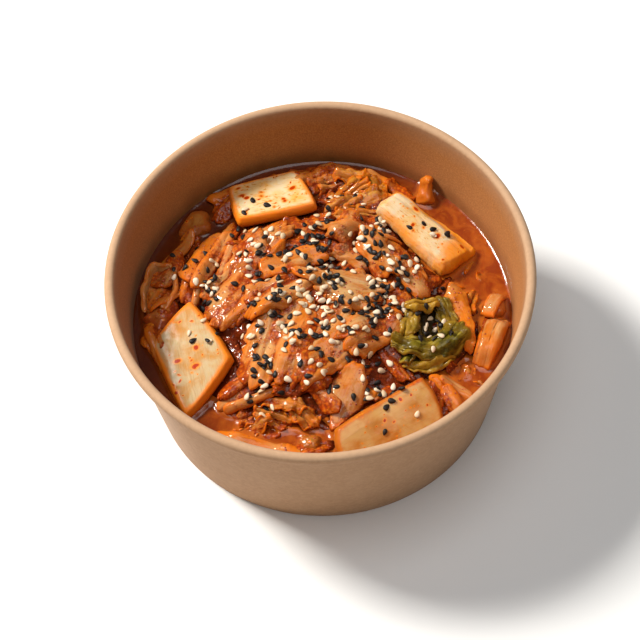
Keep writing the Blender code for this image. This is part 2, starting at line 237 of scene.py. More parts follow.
def join_meshes(name, parts):
    """One mesh from (points, faces, attributes) parts."""
    verts, faces, values = [], [], defaultdict(list)
    offset = 0
    for points, polygons, attributes in parts:
        verts.append(points)
        faces.extend([[index + offset for index in polygon] for polygon in polygons])
        for key, array in attributes.items():
            values[key].append(array)
        offset += len(points)
    merged = {key: np.concatenate(arrays) for key, arrays in values.items()}
    return mesh_object(name, np.concatenate(verts), faces, merged)


def finish_piece(piece, material, slot, *nodes):
    piece.data.materials.clear()
    piece.data.materials.append(material)
    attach(piece, "root")
    if nodes:
        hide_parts(*nodes)
    return piece


# ======== material helpers ========
class Wire:
    """One output of a material's node. Sums and products with it make the nodes they need."""

    def __init__(self, surface, socket):
        self.surface = surface
        self.socket = socket

    def __add__(self, other):
        return self.surface.math("ADD", self, other)

    def __sub__(self, other):
        return self.surface.math("SUBTRACT", self, other)

    def __rsub__(self, other):
        return self.surface.math("SUBTRACT", other, self)

    def __mul__(self, other):
        return self.surface.math("MULTIPLY", self, other)


class Surface:
    """Short-hand for building one Principled material's node tree."""

    def __init__(self, name, **fixed):
        self.material = bpy.data.materials.new(name)
        self.material.use_nodes = True
        self.tree = self.material.node_tree
        self.shader = self.tree.nodes["Principled BSDF"]
        self.place = self.node("ShaderNodeTexCoord", {}, "Object")
        self.done(**fixed)

    def done(self, **inputs):
        """Set or wire the shader's inputs, named with _ for a space, and hand over the material."""
        for key, value in inputs.items():
            self.put(self.shader.inputs[key.replace("_", " ")], value)
        return self.material

    def put(self, socket, value):
        if isinstance(value, Wire):
            self.tree.links.new(value.socket, socket)
        elif isinstance(value, tuple) and len(value) < len(socket.default_value):
            socket.default_value = (*value, 1.0)
        else:
            socket.default_value = value

    def node(self, kind, inputs, output, **settings):
        """The chosen output of a new node, with its inputs filled by name or number."""
        made = self.tree.nodes.new(kind)
        for key, value in settings.items():
            setattr(made, key, value)
        for key, value in inputs.items():
            self.put(made.inputs[key], value)
        return Wire(self, made.outputs[output])

    def value(self, key, output="Fac"):
        return self.node("ShaderNodeAttribute", {}, output, attribute_name=key)

    def noise(self, wavelength, detail=3.0, roughness=0.55, distortion=0.0, vector=None):
        """Noise 0..1 whose main waves are that many millimetres long."""
        inputs = {"Vector": vector or self.place, "Scale": 1.0 / (wavelength * MM), "Detail": detail,
                  "Roughness": roughness, "Distortion": distortion}
        return self.node("ShaderNodeTexNoise", inputs, "Fac")

    def cells(self, wavelength):
        """Distance from the middles of cells about that many millimetres wide."""
        inputs = {"Vector": self.place, "Scale": 1.0 / (wavelength * MM)}
        return self.node("ShaderNodeTexVoronoi", inputs, "Distance")

    def stretched(self, scale, vector=None, turn=0.0):
        """Places drawn out along their axes, which are turned about Z."""
        inputs = {"Vector": vector or self.place, "Scale": scale, "Rotation": (0.0, 0.0, turn)}
        return self.node("ShaderNodeMapping", inputs, "Vector", vector_type="TEXTURE")

    def math(self, operation, one, other):
        return self.node("ShaderNodeMath", {0: one, 1: other}, 0, operation=operation)

    def step(self, value, low, high, to_low=0.0, to_high=1.0):
        inputs = dict(enumerate((value, low, high, to_low, to_high)))
        return self.node("ShaderNodeMapRange", inputs, 0, interpolation_type="SMOOTHSTEP")

    def mix(self, share, one, other):
        return self.node("ShaderNodeMix", {0: share, 6: one, 7: other}, 2, data_type="RGBA")

    def layers(self, colour, *over):
        """A colour with others laid over it, each as a (share, colour) pair."""
        for share, tint in over:
            colour = self.mix(share, colour, tint)
        return colour

    def bump(self, height, depth):
        """Bump whose height of 1 stands that many millimetres proud."""
        return self.node("ShaderNodeBump", {"Height": height, "Distance": depth * MM}, "Normal")


def darker(colour, share):
    return tuple(share * channel for channel in colour)


# ======== materials ========
def kraft_material():
    s = Surface("kraft_paper", Specular_IOR_Level=0.35, Sheen_Weight=0.08)
    fibre = s.noise(1.6, detail=5.0, roughness=0.7)
    speck = s.noise(0.55, detail=2.0, roughness=0.8)
    wet = s.value("wet") * s.step(s.noise(4.0), 0.25, 0.7, 0.7, 1.0)
    lining = s.mix(s.step(speck, 0.35, 0.7), (0.35, 0.120, 0.015), (0.49, 0.188, 0.034))
    colour = s.layers(
        s.mix(s.step(fibre, 0.35, 0.68), (0.41, 0.215, 0.098), (0.48, 0.265, 0.130)),
        (s.step(s.noise(9.0), 0.4, 0.7, 0.0, 0.35), (0.50, 0.285, 0.15)),
        (s.step(speck, 0.6, 0.75, 0.0, 0.3), (0.30, 0.165, 0.08)),
        (s.value("inside") * 0.9, lining),
        # painted highlight: the top of the rolled rim is made paler
        (s.value("rim") * 0.35, (0.60, 0.43, 0.30)),
        (wet, (0.25, 0.085, 0.012)),
    )
    return s.done(Base_Color=colour, Roughness=s.step(wet, 0.0, 1.0, 0.78, 0.42),
                  Normal=s.bump(fibre + speck * 0.5, 0.05))


def brine_material():
    s = Surface("brine", Roughness=0.16, IOR=1.36, Coat_Weight=0.25, Coat_Roughness=0.12,
                Subsurface_Weight=0.2, Subsurface_Radius=(3.0, 0.8, 0.3), Subsurface_Scale=0.001)
    cloud = s.noise(7.0, detail=4.0, distortion=1.2)
    oil = s.noise(2.2, distortion=0.8)
    colour = s.layers(
        s.mix(s.step(cloud, 0.35, 0.7), (0.23, 0.030, 0.002), (0.37, 0.075, 0.005)),
        (s.step(s.value("shore"), 0.0, 1.0, 0.0, 0.7), (0.50, 0.12, 0.012)),
        (s.step(oil, 0.62, 0.72, 0.0, 0.4), (0.50, 0.12, 0.010)),
        # painted shade: the brine turns near black towards the back and the left
        (s.value("deep"), (0.075, 0.010, 0.0012)),
    )
    return s.done(Base_Color=colour, Normal=s.bump(s.noise(5.0) + oil * 0.3, 0.12))


def cabbage_material():
    """Wet cabbage: peach stem or yellow leaf, stained orange at edges, red where paste lies, dark red where
    paste lies thickest (partly thick sauce, partly painted shade), and near black under painted shade in low
    places.
    """
    s = Surface("kimchi_cabbage", IOR=1.40, Specular_IOR_Level=0.05,
                Coat_Weight=0.9, Coat_IOR=1.36, Coat_Roughness=0.04,
                Subsurface_Weight=0.25, Subsurface_Radius=(2.6, 0.7, 0.15), Subsurface_Scale=0.0009)
    edge, leaf, paste, tone, deep = map(s.value, ("edge", "leaf", "paste", "tone", "deep"))
    along = s.stretched((8.0, 1.0, 1.0), s.value("grain", "Vector"))
    fibre = s.noise(1.2, vector=along)
    streak = s.noise(3.0, roughness=0.6, distortion=0.3, vector=along)
    mottle = s.noise(5.0, detail=4.0, roughness=0.6, distortion=0.6)
    fine = s.noise(1.5, roughness=0.6)
    lumps = s.cells(1.5)
    stem = s.layers(
        s.mix(s.step(mottle, 0.35, 0.7), (0.50, 0.220, 0.072), (0.43, 0.118, 0.010)),
        (s.step(streak, 0.44, 0.64, 0.0, 0.7), (0.60, 0.36, 0.15)),
        (tone * 0.85, (0.66, 0.155, 0.003)),
        (s.step(fibre, 0.50, 0.66, 0.0, 0.35), (0.38, 0.075, 0.004)),
    )
    leafy = s.layers(
        s.mix(s.step(mottle, 0.35, 0.65), (0.40, 0.142, 0.007), (0.18, 0.046, 0.002)),
        (s.step(streak, 0.50, 0.62, 0.0, 0.8), (0.60, 0.29, 0.035)),
    )
    patch = s.noise(4.2, detail=4.0, roughness=0.6, distortion=0.4)
    cover = s.step(patch * 1.25 + paste * 0.9, 0.76, 1.16)
    red = s.layers(
        s.mix(s.step(lumps, 0.15, 0.65), (0.50, 0.078, 0.002), (0.25, 0.020, 0.001)),
        (s.step(fine, 0.52, 0.70, 0.0, 0.7), (0.64, 0.18, 0.008)),
        # where paste lies thickest it turns dark red: partly thick sauce, partly painted shade of the gaps
        # and the core
        (s.step(paste, 0.8, 1.3, 0.0, 0.85), (0.18, 0.013, 0.001)),
    )
    colour = s.layers(
        s.mix(leaf, stem, leafy),
        (s.step(edge, 0.12, 0.85) * 0.9, (0.62, 0.125, 0.003)),
        (cover * 0.9, red),
        # painted shade: near black in low places, in the listed hollows and on the core
        (deep * 0.95, (0.060, 0.005, 0.0008)),
    )
    domes = (1.0 - lumps * lumps) * cover
    ripple = s.noise(1.2, detail=1.0) * (cover * 0.5 + 0.1)
    wet = domes * 0.45 + s.noise(2.6, detail=2.0) + fibre * 0.25 + ripple
    return s.done(Base_Color=colour, Roughness=s.step(fine, 0.3, 0.7, 0.4, 0.6),
                  Normal=s.bump(fine * cover * 0.8 + domes + fibre * 0.5, 0.36),
                  Coat_Normal=s.bump(wet, 0.25))


def flesh_material(name, heading, pale, deep, edge_colour, subsurface, coat, relief=0.15, threads_shown=0.35,
                   dashes=0.0, gloss=0.2):
    """Cut radish or thick stem: pale flesh with fine fibres, stained edges and chili spots. On the radish the
    edge colour is also made bright to paint the glow of light through its shaded sides.
    """
    s = Surface(name, IOR=1.38, Specular_IOR_Level=gloss,
                Coat_Weight=coat, Coat_IOR=1.36, Coat_Roughness=0.12,
                Subsurface_Weight=subsurface, Subsurface_Radius=(2.5, 1.3, 0.5), Subsurface_Scale=0.0008)
    edge, spot, paste = map(s.value, ("edge", "spot", "paste"))
    cloud = s.noise(8.0, distortion=0.5)
    fine = s.noise(0.9, detail=4.0, roughness=0.7)
    threads = s.noise(1.0, vector=s.stretched((9.0, 0.8, 1.0), turn=heading))
    short = s.noise(0.8, detail=1.0, vector=s.stretched((2.6, 0.8, 1.0), turn=heading))
    lumps = s.cells(1.3)
    rim = edge + (cloud - 0.5) * 0.45
    cover = s.step(paste + s.noise(3.6, detail=4.0) * 0.9, 0.85, 1.25)
    colour = s.layers(
        s.mix(s.step(cloud, 0.38, 0.72), pale, deep),
        (s.step(threads, 0.54, 0.72, 0.0, threads_shown), darker(deep, 0.72)),
        (s.step(short, 0.60, 0.67) * s.step(cloud, 0.40, 0.56, 0.0, dashes), (0.55, 0.20, 0.02)),
        (s.step(rim, 0.05, 0.40, 0.0, 0.85), edge_colour),
        (s.step(rim, 0.35, 0.95, 0.0, 0.9), darker(edge_colour, 0.86)),
        (s.step(spot, 0.02, 0.45, 0.0, 0.9), (0.80, 0.25, 0.012)),
        (s.step(spot, 0.34, 0.58), (0.42, 0.032, 0.001)),
        (cover, s.mix(s.step(lumps, 0.15, 0.6), (0.62, 0.10, 0.006), (0.36, 0.032, 0.002))),
    )
    height = threads + fine * 0.4 + (1.0 - lumps) * cover
    return s.done(Base_Color=colour, Roughness=s.step(fine, 0.3, 0.7, 0.3, 0.5),
                  Normal=s.bump(height, relief))


def green_material():
    """Wet outer leaf: olive on top, pale along veins, orange at its margins, with painted shade making its
    folds and hollow near black.
    """
    s = Surface("green_cabbage", IOR=1.40, Specular_IOR_Level=0.12,
                Coat_Weight=0.9, Coat_IOR=1.34, Coat_Roughness=0.05,
                Subsurface_Weight=0.1, Subsurface_Radius=(0.8, 0.8, 0.2), Subsurface_Scale=0.0006)
    edge, paste, tone, deep = map(s.value, ("edge", "paste", "tone", "deep"))
    along = s.stretched((6.0, 1.0, 1.0), s.value("grain", "Vector"))
    vein = s.noise(1.5, detail=2.0, distortion=0.3, vector=along)
    mottle = s.noise(3.2, detail=4.0, distortion=0.8)
    fine = s.noise(1.2, roughness=0.6)
    colour = s.layers(
        s.mix(s.step(mottle, 0.35, 0.68), (0.036, 0.027, 0.0015), (0.140, 0.105, 0.004)),
        (s.step(fine, 0.55, 0.75, 0.0, 0.45), (0.24, 0.145, 0.010)),
        (s.step(vein, 0.54, 0.66, 0.0, 0.75), (0.33, 0.26, 0.030)),
        (tone * 0.9, (0.46, 0.23, 0.018)),
        (s.step(edge, 0.40, 1.0, 0.0, 0.7), (0.38, 0.15, 0.010)),
        # dark where paste lies: a little real paste, mostly painted shade in the hollow and low places
        (s.step(paste, 0.30, 0.80, 0.0, 0.85), (0.035, 0.018, 0.0015)),
        # painted shade in low places and in the leaf's hollow
        (deep * 0.9, (0.014, 0.007, 0.001)),
    )
    height = fine + vein
    return s.done(Base_Color=colour, Roughness=s.step(fine, 0.3, 0.7, 0.35, 0.55),
                  Normal=s.bump(height, 0.40), Coat_Normal=s.bump(height, 0.18))


def seed_material(name, dark, light, rim, gloss):
    s = Surface(name, Specular_IOR_Level=gloss, Coat_Weight=0.3 * gloss, Coat_Roughness=0.35)
    fine = s.noise(0.5, roughness=0.6)
    colour = s.layers(
        s.mix(s.value("tone"), dark, light),
        (s.step(fine, 0.5, 0.8, 0.0, 0.4), rim),
        (s.value("tip"), rim),
    )
    return s.done(Base_Color=colour, Roughness=s.step(fine, 0.3, 0.7, 0.38, 0.55), Normal=s.bump(fine, 0.06))


def flake_material():
    s = Surface("chili_flakes", Roughness=0.3, Coat_Weight=0.8, Coat_Roughness=0.08,
                Subsurface_Weight=0.2, Subsurface_Radius=(1.5, 0.3, 0.1), Subsurface_Scale=0.0008)
    fine = s.noise(0.5)
    colour = s.layers(
        s.mix(s.value("tone"), (0.30, 0.022, 0.004), (0.72, 0.16, 0.025)),
        (s.step(fine, 0.45, 0.7, 0.0, 0.5), (0.60, 0.09, 0.012)),
    )
    return s.done(Base_Color=colour, Normal=s.bump(fine, 0.15))


def floor_material():
    s = Surface("pale_floor", Roughness=0.9, Specular_IOR_Level=0.1)
    return s.done(Base_Color=s.mix(s.noise(60.0), (0.90, 0.90, 0.90), (0.92, 0.92, 0.92)))


# ======== bowl and brine ========
def foot_radius():
    low = points_of(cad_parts["bowl"])
    low = low[low[:, 2] < 1.0]
    return np.hypot(low[:, 0], low[:, 1]).max()


FOOT_RADIUS = foot_radius()
SHOULDER_RADIUS = RIM_RADIUS - SHOULDER_GAP
SHOULDER = HEIGHT - ROLL_DEPTH


def wall_inside(height):
    """Inner radius of the paper wall at a height."""
    return FOOT_RADIUS + (SHOULDER_RADIUS - FOOT_RADIUS) * (height / SHOULDER) - WALL


def bowl_profile():
    """From the middle of the underside, round the foot, wall and rolled rim, to the floor's middle."""
    foot_inside = FOOT_RADIUS - FOOT_WALL
    points = [(0.4, FLOOR_UNDER), (foot_inside - 1.5, FLOOR_UNDER), (foot_inside - 0.5, FLOOR_UNDER - 0.3)]
    points += [(foot_inside, FLOOR_UNDER - 1.2), (foot_inside, 0.35), (foot_inside + 0.25, 0.0)]
    points += [(FOOT_RADIUS - 0.2, 0.0), (FOOT_RADIUS, 0.3)]
    outside = np.linspace(0.0, SHOULDER - 0.3, 13)[1:]
    points += [(wall_inside(z) + WALL, z) for z in outside]
    middle, half = RIM_RADIUS - ROLL_WIDTH / 2, ROLL_WIDTH / 2
    points += [(SHOULDER_RADIUS + 0.15, SHOULDER + 0.45), (SHOULDER_RADIUS + 0.35, SHOULDER + 0.05)]
    points += [(middle + 0.1, SHOULDER - 0.02), (RIM_RADIUS - 0.65, SHOULDER + 0.12)]
    points += [(RIM_RADIUS - 0.22, SHOULDER + 0.75), (RIM_RADIUS - 0.04, SHOULDER + 1.5)]
    for angle in np.linspace(0.0, math.pi, 13):
        points.append((middle + half * math.cos(angle), HEIGHT - half + half * math.sin(angle)))
    points.append((wall_inside(SHOULDER) + 0.02, SHOULDER))
    inside = np.linspace(FLOOR_TOP + 1.5, SHOULDER - 1.5, 13)[-2::-1]
    points += [(wall_inside(z), z) for z in inside]
    return points + [(wall_inside(FLOOR_TOP) - 0.8, FLOOR_TOP), (0.4, FLOOR_TOP)]


def make_bowl():
    """The profile turned about Z, closed by a cap at each end."""
    radius, height = (values[:, None] for values in np.array(bowl_profile()).T)
    rows, around = len(radius), BOWL_SEGMENTS
    angles = turns(around)
    sway = 1.0 + BOWL_SWAY * (np.sin(2 * angles + 0.7) + 0.5 * np.sin(5 * angles)) * (radius / RIM_RADIUS)
    x, y = radius * np.cos(angles) * sway, radius * np.sin(angles) * sway
    points = np.stack([x, y, np.broadcast_to(height, x.shape)], -1).reshape(-1, 3)
    faces = [(a, d, c, b) for a, b, c, d in ring_faces(rows, around)]
    faces.append(tuple(range(around - 1, -1, -1)))
    faces.append(tuple((rows - 1) * around + i for i in range(around)))
    crest = np.argmax(height) + 1
    within = np.repeat(np.arange(rows), around) > crest
    z = points[:, 2]
    inside = within * smooth_step(0.0, 4.0, HEIGHT - z) * smooth_step(0.0, 6.0, HEIGHT - 1.0 - z)
    ragged = 2.2 * rough(points * (1, 1, 0.3), 14.0, 3, seed=2)
    wet = within * (1.0 - smooth_step(BRINE_LEVEL + 2.0, BRINE_LEVEL + 9.0, z + ragged))
    # top of the rolled rim, painted paler as a highlight
    rim = smooth_step(HEIGHT - 1.8, HEIGHT - 0.3, z)
    bowl = mesh_object("paper_bowl", points, faces, {"inside": inside, "wet": wet, "rim": rim})
    bowl.data.set_sharp_from_angle(angle=math.radians(50.0))
    return finish_piece(bowl, kraft_material(), "kraft_paper", "bowl")


def make_brine(food):
    """Surface of the brine: level, climbing a little at the wall and at the food, darkened towards the back
    and the left by painted shade.
    """
    rings, around = BRINE_RINGS, BRINE_AROUND
    edge = wall_inside(BRINE_LEVEL + 1.0) + 0.3
    radius = BRINE_START + (edge - BRINE_START) * np.linspace(0.0, 1.0, rings) ** 0.8
    x, y = ((radius[:, None] * wave(turns(around))).ravel() for wave in (np.cos, np.sin))
    from_wall = edge - np.repeat(radius, around)
    shore = smooth_step(BRINE_LEVEL - 1.5, BRINE_LEVEL + 1.5, food.read(x, y, food.blurred(1.1)))
    z = BRINE_LEVEL - 0.2 + 0.9 * np.exp(-from_wall / 1.1) + 0.7 * shore
    z += 0.10 * rough(np.stack([x, y, np.zeros_like(x)], -1), 6.0, 3, seed=1)
    surface = np.stack([x, y, z], -1)
    inner, outer = surface[:around].copy(), surface[-around:] * (0.97, 0.97, 1.0)
    inner[:, 2] = outer[:, 2] = BRINE_BOTTOM
    points = np.concatenate([surface, inner, outer])
    faces = ring_faces(rings, around)
    last, low_inner, low_outer = len(surface) - around, len(surface), len(surface) + around
    for i in range(around):
        j = (i + 1) % around
        faces.append((i, j, low_inner + j, low_inner + i))
        faces.append((last + j, last + i, low_outer + i, low_outer + j))
        faces.append((low_inner + i, low_inner + j, low_outer + j, low_outer + i))
    shores = np.concatenate([shore, shore[:around], shore[-around:]])
    # painted shade: the brine is darkened towards the back and the left, less where food stands in it
    far = smooth_step(-10.0, 50.0, points[:, 1] * 0.9 - points[:, 0] * 0.55)
    left = smooth_step(20.0, 55.0, -points[:, 0])
    deep = np.clip(0.75 * far + 0.55 * left, 0.0, 0.92) * (1.0 - 0.25 * shores)
    brine = mesh_object("chili_brine", points, faces, {"shore": shores, "deep": deep})
    return finish_piece(brine, brine_material(), "brine", "brine")


# ======== places read from the frame ========
class Plan:
    """Where a CAD node lies: its middle, heading, length, width and height range, in millimetres."""

    def __init__(self, node):
        points = points_of(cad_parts[node])
        self.low, self.high = points[:, 2].min(), points[:, 2].max()
        flat = points[:, :2]
        self.middle = (flat.min(0) + flat.max(0)) / 2
        _, axes = np.linalg.eigh(np.cov((flat - flat.mean(0)).T))
        along = axes[:, 1] if axes[0, 1] >= 0 else -axes[:, 1]
        across = np.array([-along[1], along[0]])
        u, v = (flat - self.middle) @ along, (flat - self.middle) @ across
        self.middle = self.middle + along * (u.min() + u.max()) / 2 + across * (v.min() + v.max()) / 2
        self.yaw = math.degrees(math.atan2(along[1], along[0]))
        self.length, self.width = np.ptp(u), np.ptp(v)


class Ground:
    """Surface of some pieces, for dropping things straight down on it."""

    def __init__(self, pieces):
        verts, faces = [], []
        for piece in pieces:
            start = len(verts)
            verts.extend(points_of(piece).tolist())
            faces.extend([start + i for i in face.vertices] for face in piece.data.polygons)
        self.tree = BVHTree.FromPolygons(verts, faces)

    def under(self, x, y):
        place, normal, _, _ = self.tree.ray_cast(Vector((x, y, 90.0)), Vector((0, 0, -1)))
        if place is None:
            return None, None
        return np.array(place), np.array(normal if normal.z > 0 else -normal)


# ======== cabbage sheets ========
def sheet_grid(length, width, cell):
    """Places over a sheet, -1..1 both ways, closer together near its margins."""
    axes = []
    for size, least in ((length, 8), (width, 6)):
        even = np.linspace(-1.0, 1.0, max(int(size / cell), least) + 1)
        axes.append(even * (1 - CROWDING) + CROWDING * np.sin(even * math.pi / 2))
    return np.meshgrid(*axes, indexing="ij")


def close_sheet(top, bottom, shape):
    """Points and faces of a closed sheet whose two sides share their outline."""
    nu, nv = shape
    ids = np.arange(nu * nv).reshape(nu, nv)
    low = ids + nu * nv
    low[0, :], low[-1, :], low[:, 0], low[:, -1] = ids[0, :], ids[-1, :], ids[:, 0], ids[:, -1]
    used = np.unique(np.concatenate([ids.ravel(), low.ravel()]))
    remap = np.full(2 * nu * nv, -1)
    remap[used] = np.arange(len(used))
    points = np.concatenate([top, bottom])[used]
    upper = np.stack([ids[:-1, :-1], ids[1:, :-1], ids[1:, 1:], ids[:-1, 1:]], -1).reshape(-1, 4)
    lower = np.stack([low[:-1, :-1], low[:-1, 1:], low[1:, 1:], low[1:, :-1]], -1).reshape(-1, 4)
    return points, remap[np.concatenate([upper, lower])], used


def placed(centre, yaw, px, py):
    """Plan places turned by a heading about a centre."""
    angle = math.radians(yaw)
    x = centre[0] + px * math.cos(angle) - py * math.sin(angle)
    y = centre[1] + px * math.sin(angle) + py * math.cos(angle)
    return x, y


def thicken(food, middle, rim, body, values):
    """Closed sheet round a grid of middle places, thin at its rim, raised on the height map."""
    normal = np.cross(np.gradient(middle, axis=0), np.gradient(middle, axis=1))
    normal /= np.maximum(np.linalg.norm(normal, axis=-1, keepdims=True), 1e-9)
    full = np.clip(rim / np.maximum(body * 0.55, 0.3), 0.0, 1.0)
    half = 0.5 * body * np.sqrt(np.clip(1.0 - (1.0 - full) ** 2, 0.0, 1.0))
    offset = normal * half.reshape(middle.shape[:2])[..., None]
    top = (middle + offset).reshape(-1, 3)
    food.raise_to(top)
    points, faces, used = close_sheet(top, (middle - offset).reshape(-1, 3), middle.shape[:2])
    return points, faces, {key: np.concatenate([array, array])[used] for key, array in values.items()}


def lay_sheet(food, seed, centre, yaw, length, width, thickness=1.5, bend=0.0, roll=0.0, taper=None,
              ruffle=0.0, wave=7.0, crinkle=0.14, folds=0.0, fold_gap=3.6, reach_on=0.16, ribs=0.0, leaf=0.0,
              paste=0.5, tone=0.5, conform=0.85, lift=0.0, tilt=0.0, drop=0.6, turn=0.8, ragged=0.32,
              veins=0.17, rounded=0.8, sink=74, cell=FINE_CELL, ceiling=None):
    """Lay one piece of cabbage on the food and return its points, faces and values.

    Outline: taper is its relative width at either end, ragged says how torn its margins
    are and rounded how round its corners. Form: bend curves it in plan by that many degrees,
    roll curls its sides up (down if negative) by that many radians, ruffle frills its margins
    in waves, folds raises sharp creases fold_gap apart (the longer the smaller reach_on is),
    and drop and turn say how far and how soon its margins dip. Lying: conform says how
    closely it follows what is under it, sink how many per cent of it stay clear of that,
    and ceiling is a height that nearly all of it stays under.
    """
    # outline
    s, t = sheet_grid(length, width, cell)
    shape = s.shape
    square_s, square_t = s.ravel(), t.ravel()
    rng = np.random.default_rng(seed)
    shift = rng.uniform(0, 50, 3)
    taper = rng.uniform(0.62, 1.15, 2) if taper is None else taper
    s = square_s * np.sqrt(1.0 - 0.5 * rounded * square_t ** 2)
    t = square_t * np.sqrt(1.0 - 0.5 * rounded * square_s ** 2)
    zero = np.zeros_like(s)
    local = np.stack([s * length / 2, t * width / 2, zero], -1) + shift
    half = width / 2 * (taper[0] + (taper[1] - taper[0]) * (s + 1) / 2)
    margin_t, margin_s = np.abs(square_t) ** 1.5, np.abs(square_s) ** 1.5
    side_line = np.stack([local[:, 0], shift[1] + 9 * np.sign(t), zero], -1)
    end_line = np.stack([local[:, 1], shift[0] + 9 * np.sign(s), zero], -1)
    half = half * (1.0 + ragged * margin_t * rough(side_line, 8.0, 3))
    along = s * length / 2 + ragged * width * margin_s * rough(end_line, 6.0, 3)
    # curl, frills, folds, ribs and veins
    across, height = t * half, zero
    if abs(roll) > 0.05:
        across = np.sin(roll * t) / roll * half
        height = (1.0 - np.cos(roll * t)) / roll * half
    margin = np.abs(square_t) ** 2
    phase = 2 * math.pi * along / wave + rng.uniform(0, 6.3) + 2.2 * noise(local, 8.0, 1)
    frill = ruffle * (margin + 0.6 * margin_s * np.abs(square_s))
    height = height + frill * np.sin(phase) + 0.4 * frill * np.sin(2.3 * phase + 1.0)
    across = across + 0.45 * frill * np.cos(phase) * np.sign(t)
    hills = np.full(len(s), 0.35)
    if folds:
        sway = noise(local * (0.6, 0.4, 1.0), 9.0, 2)
        warped = (local + 2.2 * np.stack([zero, sway, zero], -1)) * (reach_on, 1.0, 1.0)
        hills = 2.0 * np.abs(noise(warped, fold_gap * 1.3, seed % 4))
        small = 1.0 - 2.4 * np.abs(noise(warped, fold_gap * 0.55, (seed + 1) % 4))
        height = height + folds * (hills + 0.28 * small)
    if ribs:
        height = height + ribs * (1 - leaf) * np.sin(t * half / 0.75 + 2.0 * noise(local, 12.0, 2))
    height = height + crinkle * rough(local, 4.5, 3, seed % 4) + tilt * t * half
    stained = paste + 0.55 * (0.45 - hills) + 0.25 * rough(local, 11.0, 2, 1)
    fibres = noise(local * (0.09, 1.0, 1.0), 0.95, seed % 3) + 0.6 * noise(local * (0.07, 1.0, 1.0), 2.1, 3)
    height = height + veins * (1 - 0.5 * leaf) * fibres
    height = height + 0.12 * smooth_step(0.35, 0.8, stained) * rough(local, 2.2, 2, seed % 3)
    rim = np.minimum((1.0 - np.abs(square_t)) * width / 2, (1.0 - np.abs(square_s)) * length / 2)
    height = height - drop * np.exp(-rim / turn)
    # place in plan, inside the wall
    px, py = along, across
    if abs(bend) > 1.0:
        radius = length / math.radians(bend)
        turned = along / radius
        px = (radius - across) * np.sin(turned)
        py = radius * (1 - np.cos(turned)) + across * np.cos(turned)
        py -= radius * (1 - math.cos(length / 2 / radius)) / 2
    x, y = placed(centre, yaw, px, py)
    reach = wall_inside(BRINE_LEVEL + 4.0) - 0.8 - thickness / 2
    out = np.hypot(x, y)
    squeeze = np.where(out > reach, reach / np.maximum(out, 1.0), 1.0)
    x, y = x * squeeze, y * squeeze
    height = height + 0.6 * np.maximum(out - reach, 0.0)
    # rest on what lies under it
    under = food.read(x, y, food.blurred(1.4)).reshape(shape)
    spine = np.convolve(np.pad(under.mean(1), 4, mode="edge"), np.ones(9) / 9, mode="valid")[:, None]
    base = (conform * under + (1 - conform) * spine).ravel()
    gap = food.read(x, y) - (base + height - thickness / 2)
    z = base + height + np.percentile(gap, sink) + lift
    if ceiling is not None:
        z = z - max(np.percentile(z, 92) - ceiling, 0.0)
    leafiness = np.clip(leaf * (0.35 + margin) + 0.25 * leaf * noise(local, 7.0, 3), 0.0, 1.0)
    values = {"edge": np.exp(-rim / (0.7 + 0.5 * thickness)), "leaf": leafiness, "paste": stained,
              "tone": np.clip(tone + 0.65 * rough(local, 9.0, 2, 2), 0.0, 1.0),
              "grain": np.stack([local[:, 0], t * half, local[:, 2]], -1) * MM}
    middle = np.stack([x, y, z], -1).reshape(*shape, 3)
    return thicken(food, middle, rim, thickness * (1.0 - 0.6 * leafiness), values)


def stand_curl(food, seed, centre, yaw, length, width, low, high, thickness=1.8, opening=50.0, flare=0.3):
    """A leaf standing on its edge and curled round into a C, with a hollow in its middle."""
    s, t = sheet_grid(math.pi * (length + width) / 2, high - low, FINE_CELL)
    shape = s.shape
    s, t = s.ravel(), t.ravel()
    around = s * math.radians(180.0 - opening / 2)
    up = (t + 1) / 2
    shift = np.random.default_rng(seed).uniform(0, 50, 3)
    local = np.stack([s * (length + width), t * 4.0, 0 * s], -1) + shift
    swing = 1.0 + flare * (up - 0.5) + 0.14 * rough(local, 7.0, 3, seed % 4)
    x, y = placed(centre, yaw, np.cos(around) * length / 2 * swing, np.sin(around) * width / 2 * swing)
    z = low + (high - low) * up * (1.0 - 0.3 * np.abs(s) ** 3) + 0.7 * up * rough(local, 5.0, 3, 1)
    rim = np.minimum(1.0 - np.abs(t), (1.0 - np.abs(s)) * 3.0) * (high - low) / 2
    values = {"edge": 0.5 * np.exp(-rim / 1.2), "leaf": np.full(len(s), 0.1), "paste": 0.25 - 0.3 * up,
              "tone": np.clip(0.15 + 0.4 * rough(local, 9.0, 2, 2), 0.0, 1.0), "grain": local * MM}
    return thicken(food, np.stack([x, y, z], -1).reshape(*shape, 3), rim, thickness, values)


